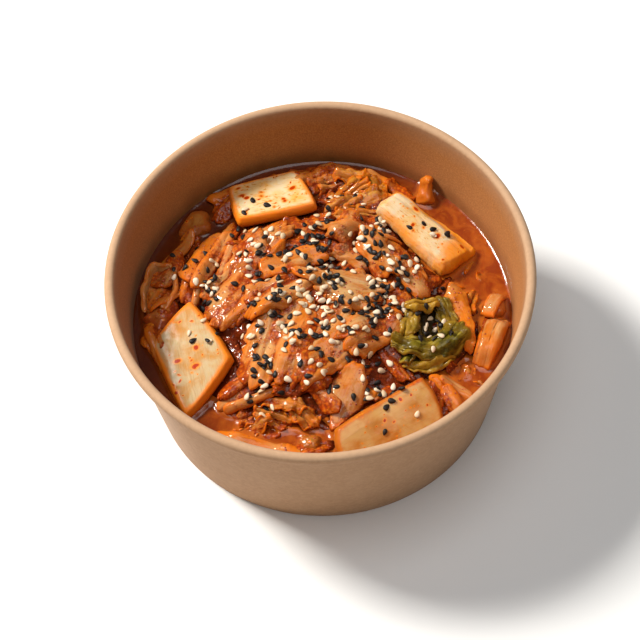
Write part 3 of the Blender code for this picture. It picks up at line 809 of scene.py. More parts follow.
# ======== cut slices and stems ========
class Slice:
    """A CAD slice remeshed finely, with its own axes for spots, ridges and paste."""

    def __init__(self, node, voxel=0.5, swell=0.12, rounds=4):
        self.node = node
        self.plan = Plan(node)
        self.piece = self.remeshed(voxel * MM, rounds)
        self.points, self.normals = points_of(self.piece), vertex_values(self.piece, "normal")
        up = self.normals[self.normals[:, 2] > 0.75].mean(0)
        self.up = up / np.linalg.norm(up)
        heading = math.radians(self.plan.yaw)
        along = np.array([math.cos(heading), math.sin(heading), 0.0])
        along -= self.up * along.dot(self.up)
        self.along = along / np.linalg.norm(along)
        self.across = np.cross(self.up, self.along)
        self.middle = (self.points.min(0) + self.points.max(0)) / 2
        local = self.points - self.middle
        self.u = local @ self.along / (self.plan.length / 2)
        self.v = local @ self.across / (self.plan.width / 2)
        facing = self.normals @ self.up
        self.top = smooth_step(0.5, 0.9, facing)
        self.edge = spread_over_edges(self.piece, 1.0 - smooth_step(0.70, 0.96, facing), int(10 / voxel))
        self.points += self.normals * swell
        self.spots = np.zeros(len(local))
        self.paste = np.zeros(len(local))

    def remeshed(self, voxel_size, rounds):
        """The CAD node's shape in even small faces, smoothed this many times."""
        bm = bmesh.new()
        bm.from_mesh(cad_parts[self.node].data)
        bmesh.ops.remove_doubles(bm, verts=bm.verts, dist=0.002 * MM)
        coarse = bpy.data.meshes.new(self.node + "_coarse")
        bm.to_mesh(coarse)
        bm.free()
        piece = link_object(self.node + "_fine", coarse)
        remesh = piece.modifiers.new("voxels", "REMESH")
        remesh.mode = "VOXEL"
        remesh.voxel_size = voxel_size
        relax = piece.modifiers.new("relax", "SMOOTH")
        relax.factor = 0.5
        relax.iterations = rounds
        evaluated = piece.evaluated_get(bpy.context.evaluated_depsgraph_get())
        fine = bpy.data.meshes.new_from_object(evaluated)
        piece.modifiers.clear()
        piece.data = fine
        bpy.data.meshes.remove(coarse)
        fine.shade_smooth()
        return piece

    def push(self, direction, amounts):
        self.points += direction * np.asarray(amounts)[:, None]

    def wear(self, long_wave, fine_wave, long_depth, fine_depth, seed):
        self.push(self.normals, long_depth * rough(self.points, long_wave, 2, seed)
                  + fine_depth * rough(self.points, fine_wave, 2, seed + 1))

    def level_top(self, share):
        """Bring the upper face nearer to its own best plane."""
        face = self.top > 0.9
        local = self.points - self.middle
        flat = np.stack([local @ self.along, local @ self.across, np.ones(len(local))], -1)
        rise = local @ self.up
        plane = np.linalg.lstsq(flat[face], rise[face], rcond=None)[0]
        self.push(self.up, share * self.top * (flat @ plane - rise))

    def stain(self, strength):
        self.edge = np.maximum(self.edge, strength)

    def add_spots(self, count, low, high, seed, reach=0.8, stretch=1.6):
        """Chili spots of random size on the upper face, with a soft stain round each."""
        rng = np.random.default_rng(seed)
        for _ in range(count):
            spot_u, spot_v = rng.uniform(-reach, reach, 2)
            size = rng.uniform(low, high)
            angle = rng.uniform(0, math.pi)
            du = (self.u - spot_u) * self.plan.length / 2
            dv = (self.v - spot_v) * self.plan.width / 2
            one = (du * math.cos(angle) + dv * math.sin(angle)) / (size * rng.uniform(1.0, stretch))
            other = (dv * math.cos(angle) - du * math.sin(angle)) / size
            strength = rng.uniform(0.55, 1.0)
            self.spots = np.maximum(self.spots, strength * np.exp(-(one ** 2 + other ** 2)) * self.top)

    def done(self, food, name, slot, pale, deep, edge_colour, **looks):
        """Write the points and values, colour the flesh and hand over the piece."""
        self.piece.name = name
        self.piece.data.vertices.foreach_set("co", (self.points * MM).ravel())
        self.piece.data.update()
        for key, values in (("edge", self.edge), ("spot", self.spots), ("paste", self.paste)):
            set_attribute(self.piece, key, values)
        food.raise_to(self.points)
        heading = math.radians(self.plan.yaw)
        material = flesh_material(self.node + "_flesh", heading, pale, deep, edge_colour, **looks)
        return finish_piece(self.piece, material, slot, self.node)


# orange chili stain on the cut sides, made about as bright as it can be so that it also paints the glow of
# light through the flesh on sides in shade
RADISH_STAIN_AND_PAINTED_GLOW = (0.86, 0.215, 0.008)
RADISH_STRETCH = 0.7       # how far each end is drawn out, as the photo shows
RADISHES = (
    # node, seed, large spots, pale flesh, stained flesh, share of dashes, how far its left side is drawn out
    ("radish_back", 11, 12, (0.70, 0.54, 0.32), (0.77, 0.38, 0.080), 0.9, 0.0),
    ("radish_left", 17, 12, (0.54, 0.39, 0.21), (0.51, 0.22, 0.035), 0.35, 1.6),
)


def make_radish(food):
    made = []
    for node, seed, count, pale, deep, dashes, wider in RADISHES:
        piece = Slice(node, swell=0.3, rounds=22)
        piece.level_top(0.7)
        piece.push(piece.across, (piece.v - 1.0) * wider)
        piece.push(piece.along, piece.u * RADISH_STRETCH)
        piece.wear(9.0, 2.2, 0.12, 0.03, seed)
        piece.add_spots(count, 0.6, 1.15, seed, stretch=1.8)
        piece.add_spots(3 * count, 0.18, 0.42, seed + 40, stretch=2.4)
        made.append(piece.done(food, node + "_slice", "radish", pale, deep, RADISH_STAIN_AND_PAINTED_GLOW,
                               subsurface=0.4, coat=0.1, dashes=dashes, gloss=0.08))
    return made


def make_stem_right(food):
    """White stem with two grooves along it, a sunk side, a ragged left end and stained edges."""
    piece = Slice("stem_right", rounds=8)
    piece.level_top(0.5)
    u, v = piece.u, piece.v + 0.10 * noise(piece.points * (1.0, 1.0, 0.2), 12.0, 1)
    groove = 0.6 * np.exp(-((v - 0.10) / 0.08) ** 2) + 0.8 * np.exp(-((v - 0.44) / 0.06) ** 2)
    sunk_side = smooth_step(0.42, 0.60, v) * smooth_step(-0.9, 0.2, u)
    ridges = 0.35 * np.cos(v * 4.0) - 0.45 * groove - 1.1 * sunk_side
    piece.push(piece.up, (0.4 + ridges * (1.0 - smooth_step(0.85, 1.0, np.abs(u)))) * piece.top)
    ragged = rough(piece.points * (1.0, 1.0, 0.4), 5.0, 3, 2)
    piece.push(piece.along, (u - 1.0) * 1.6 + 1.1 * ragged * u ** 4)
    piece.push(piece.across, 0.7 * ragged * np.abs(piece.v) ** 3)
    piece.wear(9.0, 2.0, 0.35, 0.05, 21)
    piece.add_spots(9, 0.6, 1.1, 22)
    piece.add_spots(14, 0.2, 0.45, 23)
    piece.stain(0.75 * smooth_step(0.38, 0.75, v) * smooth_step(-1.0, -0.3, u))
    piece.stain(0.75 * smooth_step(0.25, 0.90, u))
    piece.stain(0.25 * groove * smooth_step(-0.6, 0.2, u))
    piece.edge *= 1.0 - 0.8 * smooth_step(-0.7, -1.0, u) * (1.0 - smooth_step(0.0, 0.6, v))
    piece.edge *= 1.0 - 0.7 * smooth_step(-0.3, -0.8, piece.v) * smooth_step(1.1, 0.5, u)
    return piece.done(food, "thick_stem_right", "radish", (0.70, 0.54, 0.34), (0.68, 0.40, 0.14),
                      (0.78, 0.24, 0.008), subsurface=0.5, coat=0.4, relief=0.18, threads_shown=0.4,
                      dashes=0.8, gloss=0.08)


def make_stem_front(food):
    """Translucent stem leaning on the wall, with paste along its upper side and ends."""
    piece = Slice("stem_front", rounds=12)
    piece.level_top(0.6)
    piece.wear(10.0, 2.4, 0.35, 0.03, 31)
    piece.add_spots(7, 0.35, 0.75, 33)
    piece.add_spots(30, 0.15, 0.30, 34)
    piece.paste = 0.55 * smooth_step(0.45, 0.95, piece.v) + 0.25 * smooth_step(0.75, 1.0, np.abs(piece.u))
    return piece.done(food, "thick_stem_front", "cabbage_stem", (0.60, 0.33, 0.105), (0.50, 0.165, 0.014),
                      (0.52, 0.13, 0.006), subsurface=0.6, coat=0.5, relief=0.06, threads_shown=0.25)


CHUNKS = (
    # node, slot, pale, deep tone, edge colour
    ("chunk_back_right", "leaf_yellow", (0.72, 0.30, 0.04), (0.60, 0.20, 0.020), (0.56, 0.13, 0.008)),
    ("chip_back_left", "cabbage_stem", (0.45, 0.17, 0.03), (0.34, 0.10, 0.012), (0.38, 0.09, 0.010)),
    ("chunk_left", "cabbage_red", (0.48, 0.15, 0.03), (0.34, 0.07, 0.010), (0.36, 0.06, 0.008)),
    ("stick_right", "cabbage_stem", (0.72, 0.33, 0.09), (0.60, 0.22, 0.04), (0.55, 0.14, 0.016)),
    ("wedge_right", "cabbage_stem", (0.74, 0.36, 0.11), (0.62, 0.24, 0.05), (0.55, 0.14, 0.016)),
    ("chunk_front", "leaf_green", (0.36, 0.20, 0.035), (0.28, 0.12, 0.018), (0.40, 0.11, 0.012)),
)


def make_chunks(food):
    made = []
    for number, (node, slot, *colours) in enumerate(CHUNKS):
        piece = Slice(node, voxel=0.4, swell=0.4, rounds=6)
        z = piece.points[:, 2]
        rise = (z - piece.plan.low) / np.ptp(z)
        from_middle = piece.points * (1, 1, 0) - (*piece.plan.middle, 0)
        if node == "chip_back_left":
            piece.points += from_middle * 0.3
        if node == "chunk_back_right":
            # a block drawn into a wedge that leans to the right
            piece.push(from_middle, 0.30 - 0.45 * rise)
            piece.points[:, 0] += 1.6 * (rise - 0.4)
            to_left = smooth_step(0.8, -2.6, piece.points[:, 0] - piece.plan.middle[0])
            piece.points[:, 2] -= 3.2 * rise * to_left
        piece.wear(4.0, 1.3, 0.75, 0.12, 50 + number)
        piece.add_spots(5, 0.2, 0.5, 60 + number)
        piece.paste += 0.15
        made.append(piece.done(food, node + "_piece", slot, *colours, subsurface=0.45, coat=0.9, relief=0.12))
    return made


# ======== core ========
def heap_top(food):
    """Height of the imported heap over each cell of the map, or -inf outside it."""
    heap = Ground([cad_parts["cabbage_heap"]])
    top = np.full(food.x.shape, -np.inf)
    for cell in np.ndindex(top.shape):
        place, _ = heap.under(food.x[cell], food.y[cell])
        if place is not None:
            top[cell] = place[2]
    return top


def make_core(food, material):
    """The heap that the visible pieces lie on, with crumpled relief in its wet paste, darkened all over by
    painted shade.
    """
    around, rings = CORE_AROUND, CORE_RINGS
    top = heap_top(food)
    inside = np.isfinite(top)
    food.z = np.maximum(food.z, np.where(inside, top - CORE_SINK, CORE_BOTTOM + 1.0))
    steps = np.arange(*CORE_REACH, 0.5)[:, None]
    cosine, sine = np.cos(turns(around)), np.sin(turns(around))
    covered = food.read(steps * cosine, steps * sine, inside.astype(float)) > 0.5
    reach = np.where(covered, steps, CORE_REACH[0]).max(0)
    reach = np.convolve(np.pad(reach, 4, mode="wrap"), np.ones(9) / 9, mode="valid")
    share = np.linspace(0.004, 1.0, rings)[:, None]
    x, y = (share * reach * cosine).ravel(), (share * reach * sine).ravel()
    zero = np.zeros_like(x)
    flat = np.stack([x, y, zero], -1)
    warp = flat + 2.5 * np.stack([rough(flat, 9.0, 2, 1), rough(flat, 9.0, 2, 2), zero], -1)
    ridges = 1.0 - 2.2 * np.abs(rough(warp * (1.0, 1.6, 1.0), 7.0, 2, 3))
    z = food.read(x, y, food.blurred(1.0)) - 0.8 + 1.1 * ridges + 0.25 * rough(flat, 1.8, 2, 0)
    z = np.where(np.repeat(share, around) > 0.985, CORE_BOTTOM + 1.0, z)
    upper = np.stack([x, y, z], -1)
    lower = upper[-around:].copy()
    lower[:, 2] = CORE_BOTTOM
    points = np.concatenate([upper, lower])
    count = len(points)
    caps = [tuple(range(around)), tuple(range(count - 1, count - around - 1, -1))]
    faces = caps + ring_faces(rings + 1, around)
    # painted shade: the core shows only in the gaps under the pieces, so it is darkened all over; its paste
    # is thick and red
    values = {"edge": np.zeros(count), "leaf": np.full(count, 0.3), "tone": np.ones(count),
              "paste": np.full(count, 1.3), "deep": np.full(count, 0.55), "grain": points * MM}
    core = mesh_object("kimchi_core", points, faces, values)
    return finish_piece(core, material, "cabbage_red", "cabbage_heap")


# ======== how the cabbage is laid ========
FRILL = dict(ruffle=0.9, wave=5.0, leaf=0.95, folds=1.7, fold_gap=2.1, thickness=1.0, drop=0.3, sink=66,
             crinkle=0.3)
STRANDS = dict(folds=0.9, fold_gap=3.2, reach_on=0.12, thickness=1.2, ragged=0.35, veins=0.08)
PALE_STEM = dict(roll=0.15, folds=0.3, paste=0.0, tone=0.1, thickness=2.2, drop=0.0, rounded=0.1, ragged=0.14,
                 veins=0.05)
CRUMPLED = dict(folds=1.4, fold_gap=2.0, reach_on=0.20, leaf=0.8, thickness=1.2, ruffle=0.5, wave=5.0,
                ragged=0.34, crinkle=0.35)
SUNK = dict(drop=1.5, turn=1.6, conform=0.92, veins=0.06, crinkle=0.25, fold_gap=5.0, reach_on=0.3,
            ragged=0.42, rounded=0.5)

PLAIN = {}

# Each table holds nodes with a style and rows of sheets: seed, offset from the node's middle, heading,
# length, width, and what differs from the style.
LOWER_SHEETS = (
    ("leaf_back", FRILL, (
        (101, (-5.0, 7.5), 10, 14, 9, dict(paste=0.3)),
        (102, (3.5, 8.5), -12, 15, 9, dict(paste=0.2)),
        (103, (8.5, 3.0), -34, 15, 10, dict(paste=0.15)),
        (104, (0.5, 2.5), 24, 15, 10, dict(paste=0.05)),
        (105, (-6.5, 0.0), -10, 13, 9, dict(paste=0.25)),
        (106, (5.5, -3.0), 8, 16, 10, dict(paste=0.1)),
        (107, (-3.0, -5.0), 28, 15, 9, dict(paste=0.1)),
        (108, (3.5, -8.5), -8, 17, 8, dict(paste=0.25, leaf=0.8)),
        (109, (-3.0, -11.0), 12, 14, 5, dict(paste=0.0, tone=0.1)),
    )),
    ("leaf_front", FRILL, (
        (111, (-7.0, 2.0), 4, 14, 10, dict(paste=0.3, leaf=0.8)),
        (112, (-1.0, 0.5), -20, 13, 10, dict(paste=0.3, leaf=0.8)),
        (113, (9.5, 1.5), -44, 14, 10, dict(paste=0.25, leaf=0.7)),
        (114, (3.0, 5.0), -14, 16, 8, dict(paste=0.4, leaf=0.6)),
        (115, (-9.0, -3.0), 24, 16, 7, dict(paste=0.3, leaf=0.6)),
    )),
    ("leaf_front", PLAIN, (
        (116, (-8.7, -7.3), -18, 26, 5.5, dict(roll=-0.9, folds=0.4, paste=0.05, tone=0.3, veins=0.05,
                                               ceiling=37.0)),
    )),
    ("leaf_left", STRANDS, (
        (121, (-3.0, -2.0), 64, 30, 15, dict(roll=-0.5, paste=0.45, tone=0.8, bend=12)),
        (122, (3.0, -6.0), 72, 24, 10, dict(roll=-0.5, paste=0.3, tone=0.6)),
        (123, (-5.0, 8.0), 50, 22, 10, dict(roll=-0.5, paste=0.35, tone=0.7, bend=18)),
        (124, (6.0, 4.0), 62, 26, 9, dict(roll=-0.6, paste=0.4, tone=0.9)),
    )),
    ("leaf_left", PLAIN, (
        (125, (4.5, -9.0), 74, 19, 4.0, dict(roll=-1.3, folds=0.4, paste=0.1, tone=0.0)),
    )),
    ("roll_left", STRANDS, (
        (132, (3.5, 4.0), 62, 17, 8, dict(roll=-0.9, paste=0.3, tone=0.4, bend=20)),
    )),
    ("stem_left", PLAIN, (
        (141, (-1.0, 0.5), 62, 28, 7.0, dict(roll=-1.0, ribs=0.4, paste=0.1, tone=0.75, thickness=2.2)),
        (142, (2.8, -2.5), 68, 22, 4.4, dict(roll=-1.2, paste=0.0, tone=0.0, thickness=1.8, bend=8)),
    )),
    ("curl_right", PLAIN, (
        (152, (3.5, 3.0), -96, 20, 8.5, dict(ruffle=0.9, leaf=0.9, folds=1.3, paste=0.45, bend=-20,
                                             fold_gap=2.4, thickness=1.0)),
        (153, (1.5, -7.0), -70, 19, 8.0, dict(ruffle=0.9, leaf=0.8, folds=1.3, paste=0.4, bend=20,
                                              fold_gap=2.4, thickness=1.0)),
    )),
    ("curl_right", FRILL, (
        (154, (-1.0, 12.0), 28, 15, 7.0, dict(paste=0.2)),
        (155, (1.5, 9.0), 70, 12, 6.0, dict(paste=0.3)),
        (157, (3.5, 25.5), 50, 8, 5.0, dict(paste=0.2, tone=0.6)),
        (158, (7.0, 20.0), 100, 6, 4.0, dict(paste=0.0, tone=0.4)),
        (156, (-4.0, -12.0), 40, 15, 7.0, dict(paste=0.15, tone=0.3)),
    )),
    ("curl_right", PLAIN, (
        (159, (-7.0, -12.0), -150, 16, 9.0, dict(roll=-0.6, paste=0.0, tone=0.0, bend=-30, lift=0.8,
                                                 folds=0.8, leaf=0.5, veins=0.08)),
        (151, (-2.4, 0.5), -82, 30, 8.5, dict(roll=-0.7, paste=0.15, tone=0.75, bend=-44, lift=1.4,
                                              thickness=1.0, folds=0.9, ragged=0.3, leaf=0.4,
                                              taper=(1.1, 0.6), ruffle=0.5, veins=0.08)),
    )),
    ("wedge_right", PALE_STEM, (
        (155, (-0.6, 0.6), 66, 21, 12, dict(taper=(0.6, 0.85), lift=0.4, tilt=-0.15)),
    )),
    ("stick_right", PALE_STEM, (
        (156, (-0.5, 0.5), 60, 12, 7, dict(taper=(0.9, 0.8), lift=0.3)),
    )),
    ("strip_front_right", PLAIN, (
        (161, (-1.5, 2.0), -52, 16, 6, dict(roll=-1.0, folds=0.7, ribs=0.2, paste=0.1)),
        (162, (1.5, 4.0), -34, 14, 6, dict(roll=-1.0, folds=0.7, ribs=0.2, paste=0.1)),
    )),
    ("strip_front_right", FRILL, (
        (164, (8.5, 8.5), -60, 12, 6, dict(paste=0.3, tone=0.2)),
        (165, (3.5, 10.5), -20, 12, 6, dict(paste=0.5)),
    )),
    ("strip_front_right", PLAIN, (
        (163, (0.0, -2.5), -62, 14, 7, dict(roll=-0.8, folds=0.8, paste=0.3, tone=0.8)),
    )),
    ("strip_front_left", PLAIN, (
        (171, (0.0, 0.0), 20, 20, 7, dict(roll=-1.0, folds=0.9, paste=0.5, tone=0.7)),
        (172, (2.0, -3.5), 12, 18, 4.5, dict(roll=-1.2, ribs=0.25, paste=0.05, tone=0.3)),
        (173, (-1.0, 3.5), 34, 17, 7, dict(roll=-0.9, folds=0.8, paste=0.8, tone=0.8)),
    )),
)
FRONT_SHEETS = (
    ("stem_centre_front", PLAIN, (
        (181, (0.0, -1.0), 62, 20, 14, dict(roll=-0.5, veins=0.08, paste=0.05, tone=0.0, thickness=2.4,
                                            taper=(0.7, 1.1))),
        (182, (-7.5, -1.0), -48, 16, 7, dict(roll=-1.0, folds=0.6, paste=0.5, tone=0.6)),
    )),
)
MOUND_SHEETS = (
    ("top_leaf_back", SUNK, (
        (201, (4.0, 0.0), 6, 34, 21, dict(roll=-0.3, folds=0.9, ruffle=0.5, leaf=0.15, paste=0.5)),
        (202, (-8.0, -2.0), 34, 26, 18, dict(roll=-0.4, folds=1.0, leaf=0.1, paste=0.4, tone=0.3)),
    )),
    ("top_leaf_back_right", SUNK, (
        (203, (-3.0, -1.0), 60, 17, 13, dict(roll=-0.5, folds=0.8, paste=0.2, tone=0.9)),
        (204, (3.0, -0.5), 12, 20, 14, dict(roll=-0.4, folds=0.9, paste=0.6)),
    )),
    ("top_leaf_low", SUNK, (
        (231, (1.0, 3.0), 4, 26, 15, dict(roll=-0.4, folds=1.0, ruffle=0.5, paste=0.7, tone=0.6)),
    )),
    ("top_strip_right", SUNK, (
        (253, (-2.6, 10.6), -47, 26, 8, dict(roll=-0.5, folds=0.8, paste=0.6, tone=0.6, lift=1.6)),
        (252, (-4.5, -5.0), -78, 21, 13, dict(roll=-0.5, folds=0.8, paste=0.35, tone=0.3)),
        (251, (0.0, 0.0), -50, 20, 9, dict(roll=-0.5, folds=0.4, paste=0.1, tone=0.2)),
    )),
    ("top_leaf_right", SUNK, (
        (241, (-1.0, 1.0), -12, 27, 22, dict(roll=-0.3, folds=0.9, paste=0.34, tone=0.3)),
    )),
    ("top_leaf_side", SUNK, (
        (211, (2.0, 3.0), 58, 35, 25, dict(roll=-0.3, folds=0.9, paste=0.42, bend=14, tone=0.4, ragged=0.28)),
    )),
    ("top_leaf_front", SUNK, (
        (261, (3.0, 1.0), 44, 33, 27, dict(roll=-0.4, folds=0.8, paste=0.4, tone=0.3, ragged=0.28)),
    )),
    ("top_lip", PLAIN, (
        (281, (1.0, -1.0), 30, 27, 17, dict(roll=-0.5, folds=0.6, paste=0.25, tone=0.3, thickness=1.6,
                                            veins=0.07, reach_on=0.3)),
    )),
    ("top_leaf_left", SUNK, (
        (221, (2.5, 0.5), 70, 37, 28, dict(roll=-0.3, folds=0.8, paste=0.40, tone=0.35, bend=-10, drop=0.8,
                                           ragged=0.25)),
    )),
    ("top_leaf_middle", SUNK, (
        (271, (-2.0, 1.0), 34, 27, 20, dict(roll=-0.3, folds=1.1, paste=0.45, tone=0.5)),
    )),
    ("top_leaf_right", PLAIN, (
        (242, (5.0, -3.0), -62, 21, 13, dict(roll=-0.7, folds=0.6, paste=0.22, tone=0.1, bend=-20, veins=0.07,
                                             reach_on=0.3)),
    )),
    ("top_stem_centre", SUNK, (
        (291, (0.0, 0.0), -14, 28, 21, dict(roll=-0.3, folds=0.5, paste=0.08, tone=0.0, thickness=1.8)),
    )),
    ("top_stem", PLAIN, (
        (295, (0.0, 0.0), 18, 27, 11, dict(roll=-0.6, ribs=0.05, folds=0.3, paste=0.0, tone=0.6,
                                           thickness=2.2, veins=0.06)),
    )),
)
GREEN_SHEETS = (
    ("green_leaf", CRUMPLED, (
        # the sheet in the leaf's hollow: its high paste darkens it as painted shade
        (401, (1.5, 2.5), 80, 16, 13, dict(roll=0.9, paste=1.6, lift=-0.3)),
        (402, (-0.5, -12.0), 14, 17, 9, dict(bend=40, tone=0.5, paste=0.1, lift=0.5)),
        (407, (-6.5, -9.5), 60, 12, 8, dict(roll=-0.5, tone=0.0, paste=0.25, lift=0.2)),
        (403, (6.8, 1.5), 98, 19, 9, dict(roll=-0.6, fold_gap=1.6, tone=0.1, paste=0.0, lift=0.8, bend=24)),
        (404, (-5.5, 2.5), 72, 13, 8, dict(roll=-0.6, tone=0.8, paste=0.3, lift=0.6)),
        (405, (-1.5, 8.0), 12, 13, 6, dict(roll=-0.6, ruffle=0.9, tone=0.8, paste=0.0, lift=0.8)),
        (406, (0.5, -5.0), 14, 30, 12, dict(bend=110, roll=-0.9, tone=0.05, paste=0.05, lift=1.0)),
    )),
)
# node, offset from its middle and reach of the hollows between and inside pieces that are darkened with
# painted shade
PAINTED_SHADE_HOLLOWS = (
    ("roll_left", (0.6, -2.6), 4.6), ("green_leaf", (-0.5, 4.5), 4.2), ("top_lip", (-7.5, 1.5), 3.0),
)
# angle round the bowl, distance from its middle and heading of the scraps along the wall
WALL_SCRAPS = (
    (160, 60, 60), (170, 61, 96), (182, 61, 80), (192, 60, 110), (122, 62, 20), (100, 61, 0), (90, 62, 8),
    (79, 62, -14), (68, 61, -30), (58, 60, -50), (-50, 59, 60), (-98, 60, -14), (-82, 58, 30),
)
LEAF_NODES = ("leaf_back", "leaf_front", "curl_right")
STEM_NODES = ("roll_left", "stem_left", "stem_centre_front", "strip_front_right", "top_stem",
              "top_stem_centre", "top_strip_right", "top_lip", "wedge_right", "stick_right")
SLOTS = {"green_leaf": "leaf_green", **dict.fromkeys(LEAF_NODES, "leaf_yellow"),
         **dict.fromkeys(STEM_NODES, "cabbage_stem")}


def filler_places(rng):
    """Places and headings of the fillers: a spiral over the core, then two rows along the wall."""
    places = []
    for number in range(FILLERS):
        radius = FILLER_REACH * math.sqrt((number + 0.5) / FILLERS)
        places.append((GOLDEN_ANGLE * number, radius, rng.uniform(0, 180)))
    for degrees_on, nearer, turned in ((0, 0, 0), (4, 5, 25)):
        for angle, radius, yaw in WALL_SCRAPS:
            places.append((math.radians(angle + degrees_on), radius - nearer, yaw + turned))
    return places


def lay_fillers(food, parts):
    """Dark red scraps that close the gaps between core and the pieces on top, and along the wall."""
    rng = np.random.default_rng(5)
    for number, (angle, radius, yaw) in enumerate(filler_places(rng)):
        x, y = radius * math.cos(angle), radius * math.sin(angle)
        length, width = rng.uniform(14, 24), rng.uniform(6.5, 10)
        options = dict(roll=rng.uniform(-1.2, 0.2), ruffle=rng.uniform(0.2, 0.8), bend=rng.uniform(-40, 40),
                       paste=rng.uniform(0.5, 0.9), tone=rng.uniform(0.4, 1.0), leaf=rng.uniform(0.0, 0.6),
                       folds=rng.uniform(0.6, 1.2))
        near_wall = number >= FILLERS
        ceiling = max(food.read(x, y) + 1.6, BRINE_LEVEL + (3.6 if near_wall else 1.3))
        lift = rng.uniform(0.8, 2.4) if near_wall else -0.4
        parts["cabbage_heap"].append(lay_sheet(food, 300 + number, (x, y), yaw, length, width, lift=lift,
                                               ceiling=ceiling, cell=COARSE_CELL, **options))


def lay_sheets(food, parts, table):
    for node, style, rows in table:
        plan = Plan(node)
        for seed, offset, yaw, length, width, options in rows:
            shaped = {"ceiling": plan.high + CEILING_OVER, **style, **options}
            parts[node].append(lay_sheet(food, seed, plan.middle + offset, yaw, length, width, **shaped))


def lay_left_curl(food, parts):
    plan = Plan("roll_left")
    parts["roll_left"].append(stand_curl(food, 131, plan.middle + (0.4, -3.0), yaw=78, length=18, width=10.5,
                                         low=34.0, high=41.0))


def sink_paste_and_paint_shade(food, parts):
    """Paste gathers where a piece lies lower than what is round it, and painted shade darkens those low
    places and the listed hollows.
    """
    painted_shade_hollows = [(Plan(node).middle + offset, reach) for node, offset, reach in PAINTED_SHADE_HOLLOWS]
    level = food.blurred(3.5)
    for points, _, values in itertools.chain(*parts.values()):
        depth = food.read(points[:, 0], points[:, 1], level) - points[:, 2]
        values["paste"] = values["paste"] + 0.9 * smooth_step(0.2, 2.4, depth)
        # painted shade in places lower than what is round them, and in the hollows
        deep = smooth_step(0.4, 3.2, depth)
        for middle, reach in painted_shade_hollows:
            away = np.hypot(points[:, 0] - middle[0], points[:, 1] - middle[1])
            deep = np.maximum(deep, np.exp(-(away / reach) ** 4) * smooth_step(0.2, 1.6, depth))
        values["deep"] = deep


# ======== seeds and chili flakes ========
# x, y of each cluster in millimetres, its spread, and how many black and white seeds fall there
SEED_CLUSTERS = (
    (-3, 24, 9, 34, 10), (-22, 23, 6, 6, 13), (-40, 9, 3.5, 13, 7), (-18, 8, 7, 17, 11), (2, 4, 8, 21, 24),
    (-5, -2, 4, 0, 11), (18, 19, 7, 18, 14), (24, 3, 6, 16, 16), (20, -6, 5, 14, 10), (12, -14, 5, 9, 11),
    (-4, -17, 8, 15, 19), (-22, -6, 7, 12, 11), (-18, -26, 6, 9, 5), (14, -25, 6, 5, 6), (-25, -29, 4, 5, 0),
    (-24, -38, 6, 5, 4), (-5, -35, 7, 3, 5), (20, -36, 5, 11, 6), (12, 42, 8, 8, 6), (37, -13, 6, 9, 8),
    (33, 12, 5, 6, 6), (-42, 19, 6, 5, 2), (-18, 41, 9, 6, 1), (-38, -14, 7, 4, 3), (42, 30, 8, 5, 2),
    (24, -50, 8, 2, 1), (-50, 22, 6, 2, 1), (24, 33, 3, 2, 8),
)
# dark, light and rim colour, and gloss
SEED_COLOURS = {
    "black": ((0.010, 0.007, 0.006), (0.022, 0.016, 0.014), (0.04, 0.030, 0.026), 0.22),
    "white": ((0.62, 0.43, 0.24), (0.88, 0.73, 0.55), (0.62, 0.38, 0.17), 0.4),
}


def seed_shape(around=10, along=9):
    """A teardrop seed lying along X, with its tip at +X: points, faces and how near the tip."""
    share = np.linspace(0.0, 1.0, along + 2)[1:-1]
    x = 0.5 * np.cos(share * math.pi)[:, None]
    girth = 0.5 * np.sin(share * math.pi)[:, None] * (1.0 - 0.68 * x)
    y, z = girth * np.cos(turns(around)), girth * np.sin(turns(around))
    points = np.stack([np.broadcast_to(x, y.shape), y, z], -1).reshape(-1, 3)
    points = np.concatenate([points, [[0.54, 0, 0], [-0.5, 0, 0]]])
    faces = ring_faces(along, around)
    for i in range(around):
        j = (i + 1) % around
        faces.append((along * around, i, j))
        faces.append((along * around + 1, (along - 1) * around + j, (along - 1) * around + i))
    return points * SEED_SIZE, faces, smooth_step(0.36, 0.52, points[:, 0])


def basis(normal, heading):
    """Axes of something lying on a surface: forward, sideways and up."""
    forward = np.array([math.cos(heading), math.sin(heading), 0.0])
    forward -= normal * forward.dot(normal)
    forward /= np.linalg.norm(forward)
    return np.stack([forward, np.cross(normal, forward), normal], 0)


def find_seed_place(ground, rng, laid, x, y, spread):
    """A place in the cluster with at most one seed close by, its normal and that count, or None."""
    for _ in range(SEED_TRIES):
        sx, sy = x + rng.normal(0, 0.75) * spread, y + rng.normal(0, 0.75) * spread
        place, normal = ground.under(sx, sy)
        if place is None or place[2] < BRINE_LEVEL + OVER_BRINE or normal[2] < STEEPEST:
            continue
        near = sum(1 for other in laid if np.hypot(*(other[:2] - place[:2])) < SEED_SPACING)
        if near <= 1:
            return place, normal, near
    return None


def scatter_seeds(ground):
    rng = np.random.default_rng(77)
    shape, faces, tip = seed_shape()
    laid, order = [], []
    batches = {"black": [], "white": []}
    for x, y, spread, black, white in SEED_CLUSTERS:
        order += [(x, y, spread, "black")] * black + [(x, y, spread, "white")] * white
    rng.shuffle(order)
    for x, y, spread, kind in order:
        found = find_seed_place(ground, rng, laid, x, y, spread)
        if found is None:
            continue
        place, normal, near = found
        lean = normal + rng.normal(0, 0.16, 3)
        if near:
            lean = lean + rng.normal(0, 0.35, 3)
            place = place + np.array([0, 0, 0.75])
        lean = lean / np.linalg.norm(lean)
        axes = basis(lean, rng.uniform(0, 2 * math.pi))
        size = rng.uniform(0.86, 1.1) * (1.0 if kind == "white" else 0.98)
        points = shape * size * (1.0, rng.uniform(0.9, 1.1), 1.0)
        points = points @ axes + place + lean * (SEED_SIZE[2] * 0.5 * size - 0.12)
        laid.append(place)
        tone = np.full(len(points), rng.uniform(0.0, 1.0))
        batches[kind].append((points, faces, {"tone": tone, "tip": tip}))
    for kind, colours in SEED_COLOURS.items():
        material = seed_material("sesame_" + kind, *colours)
        finish_piece(join_meshes(kind + "_sesame", batches[kind]), material, "sesame_" + kind)


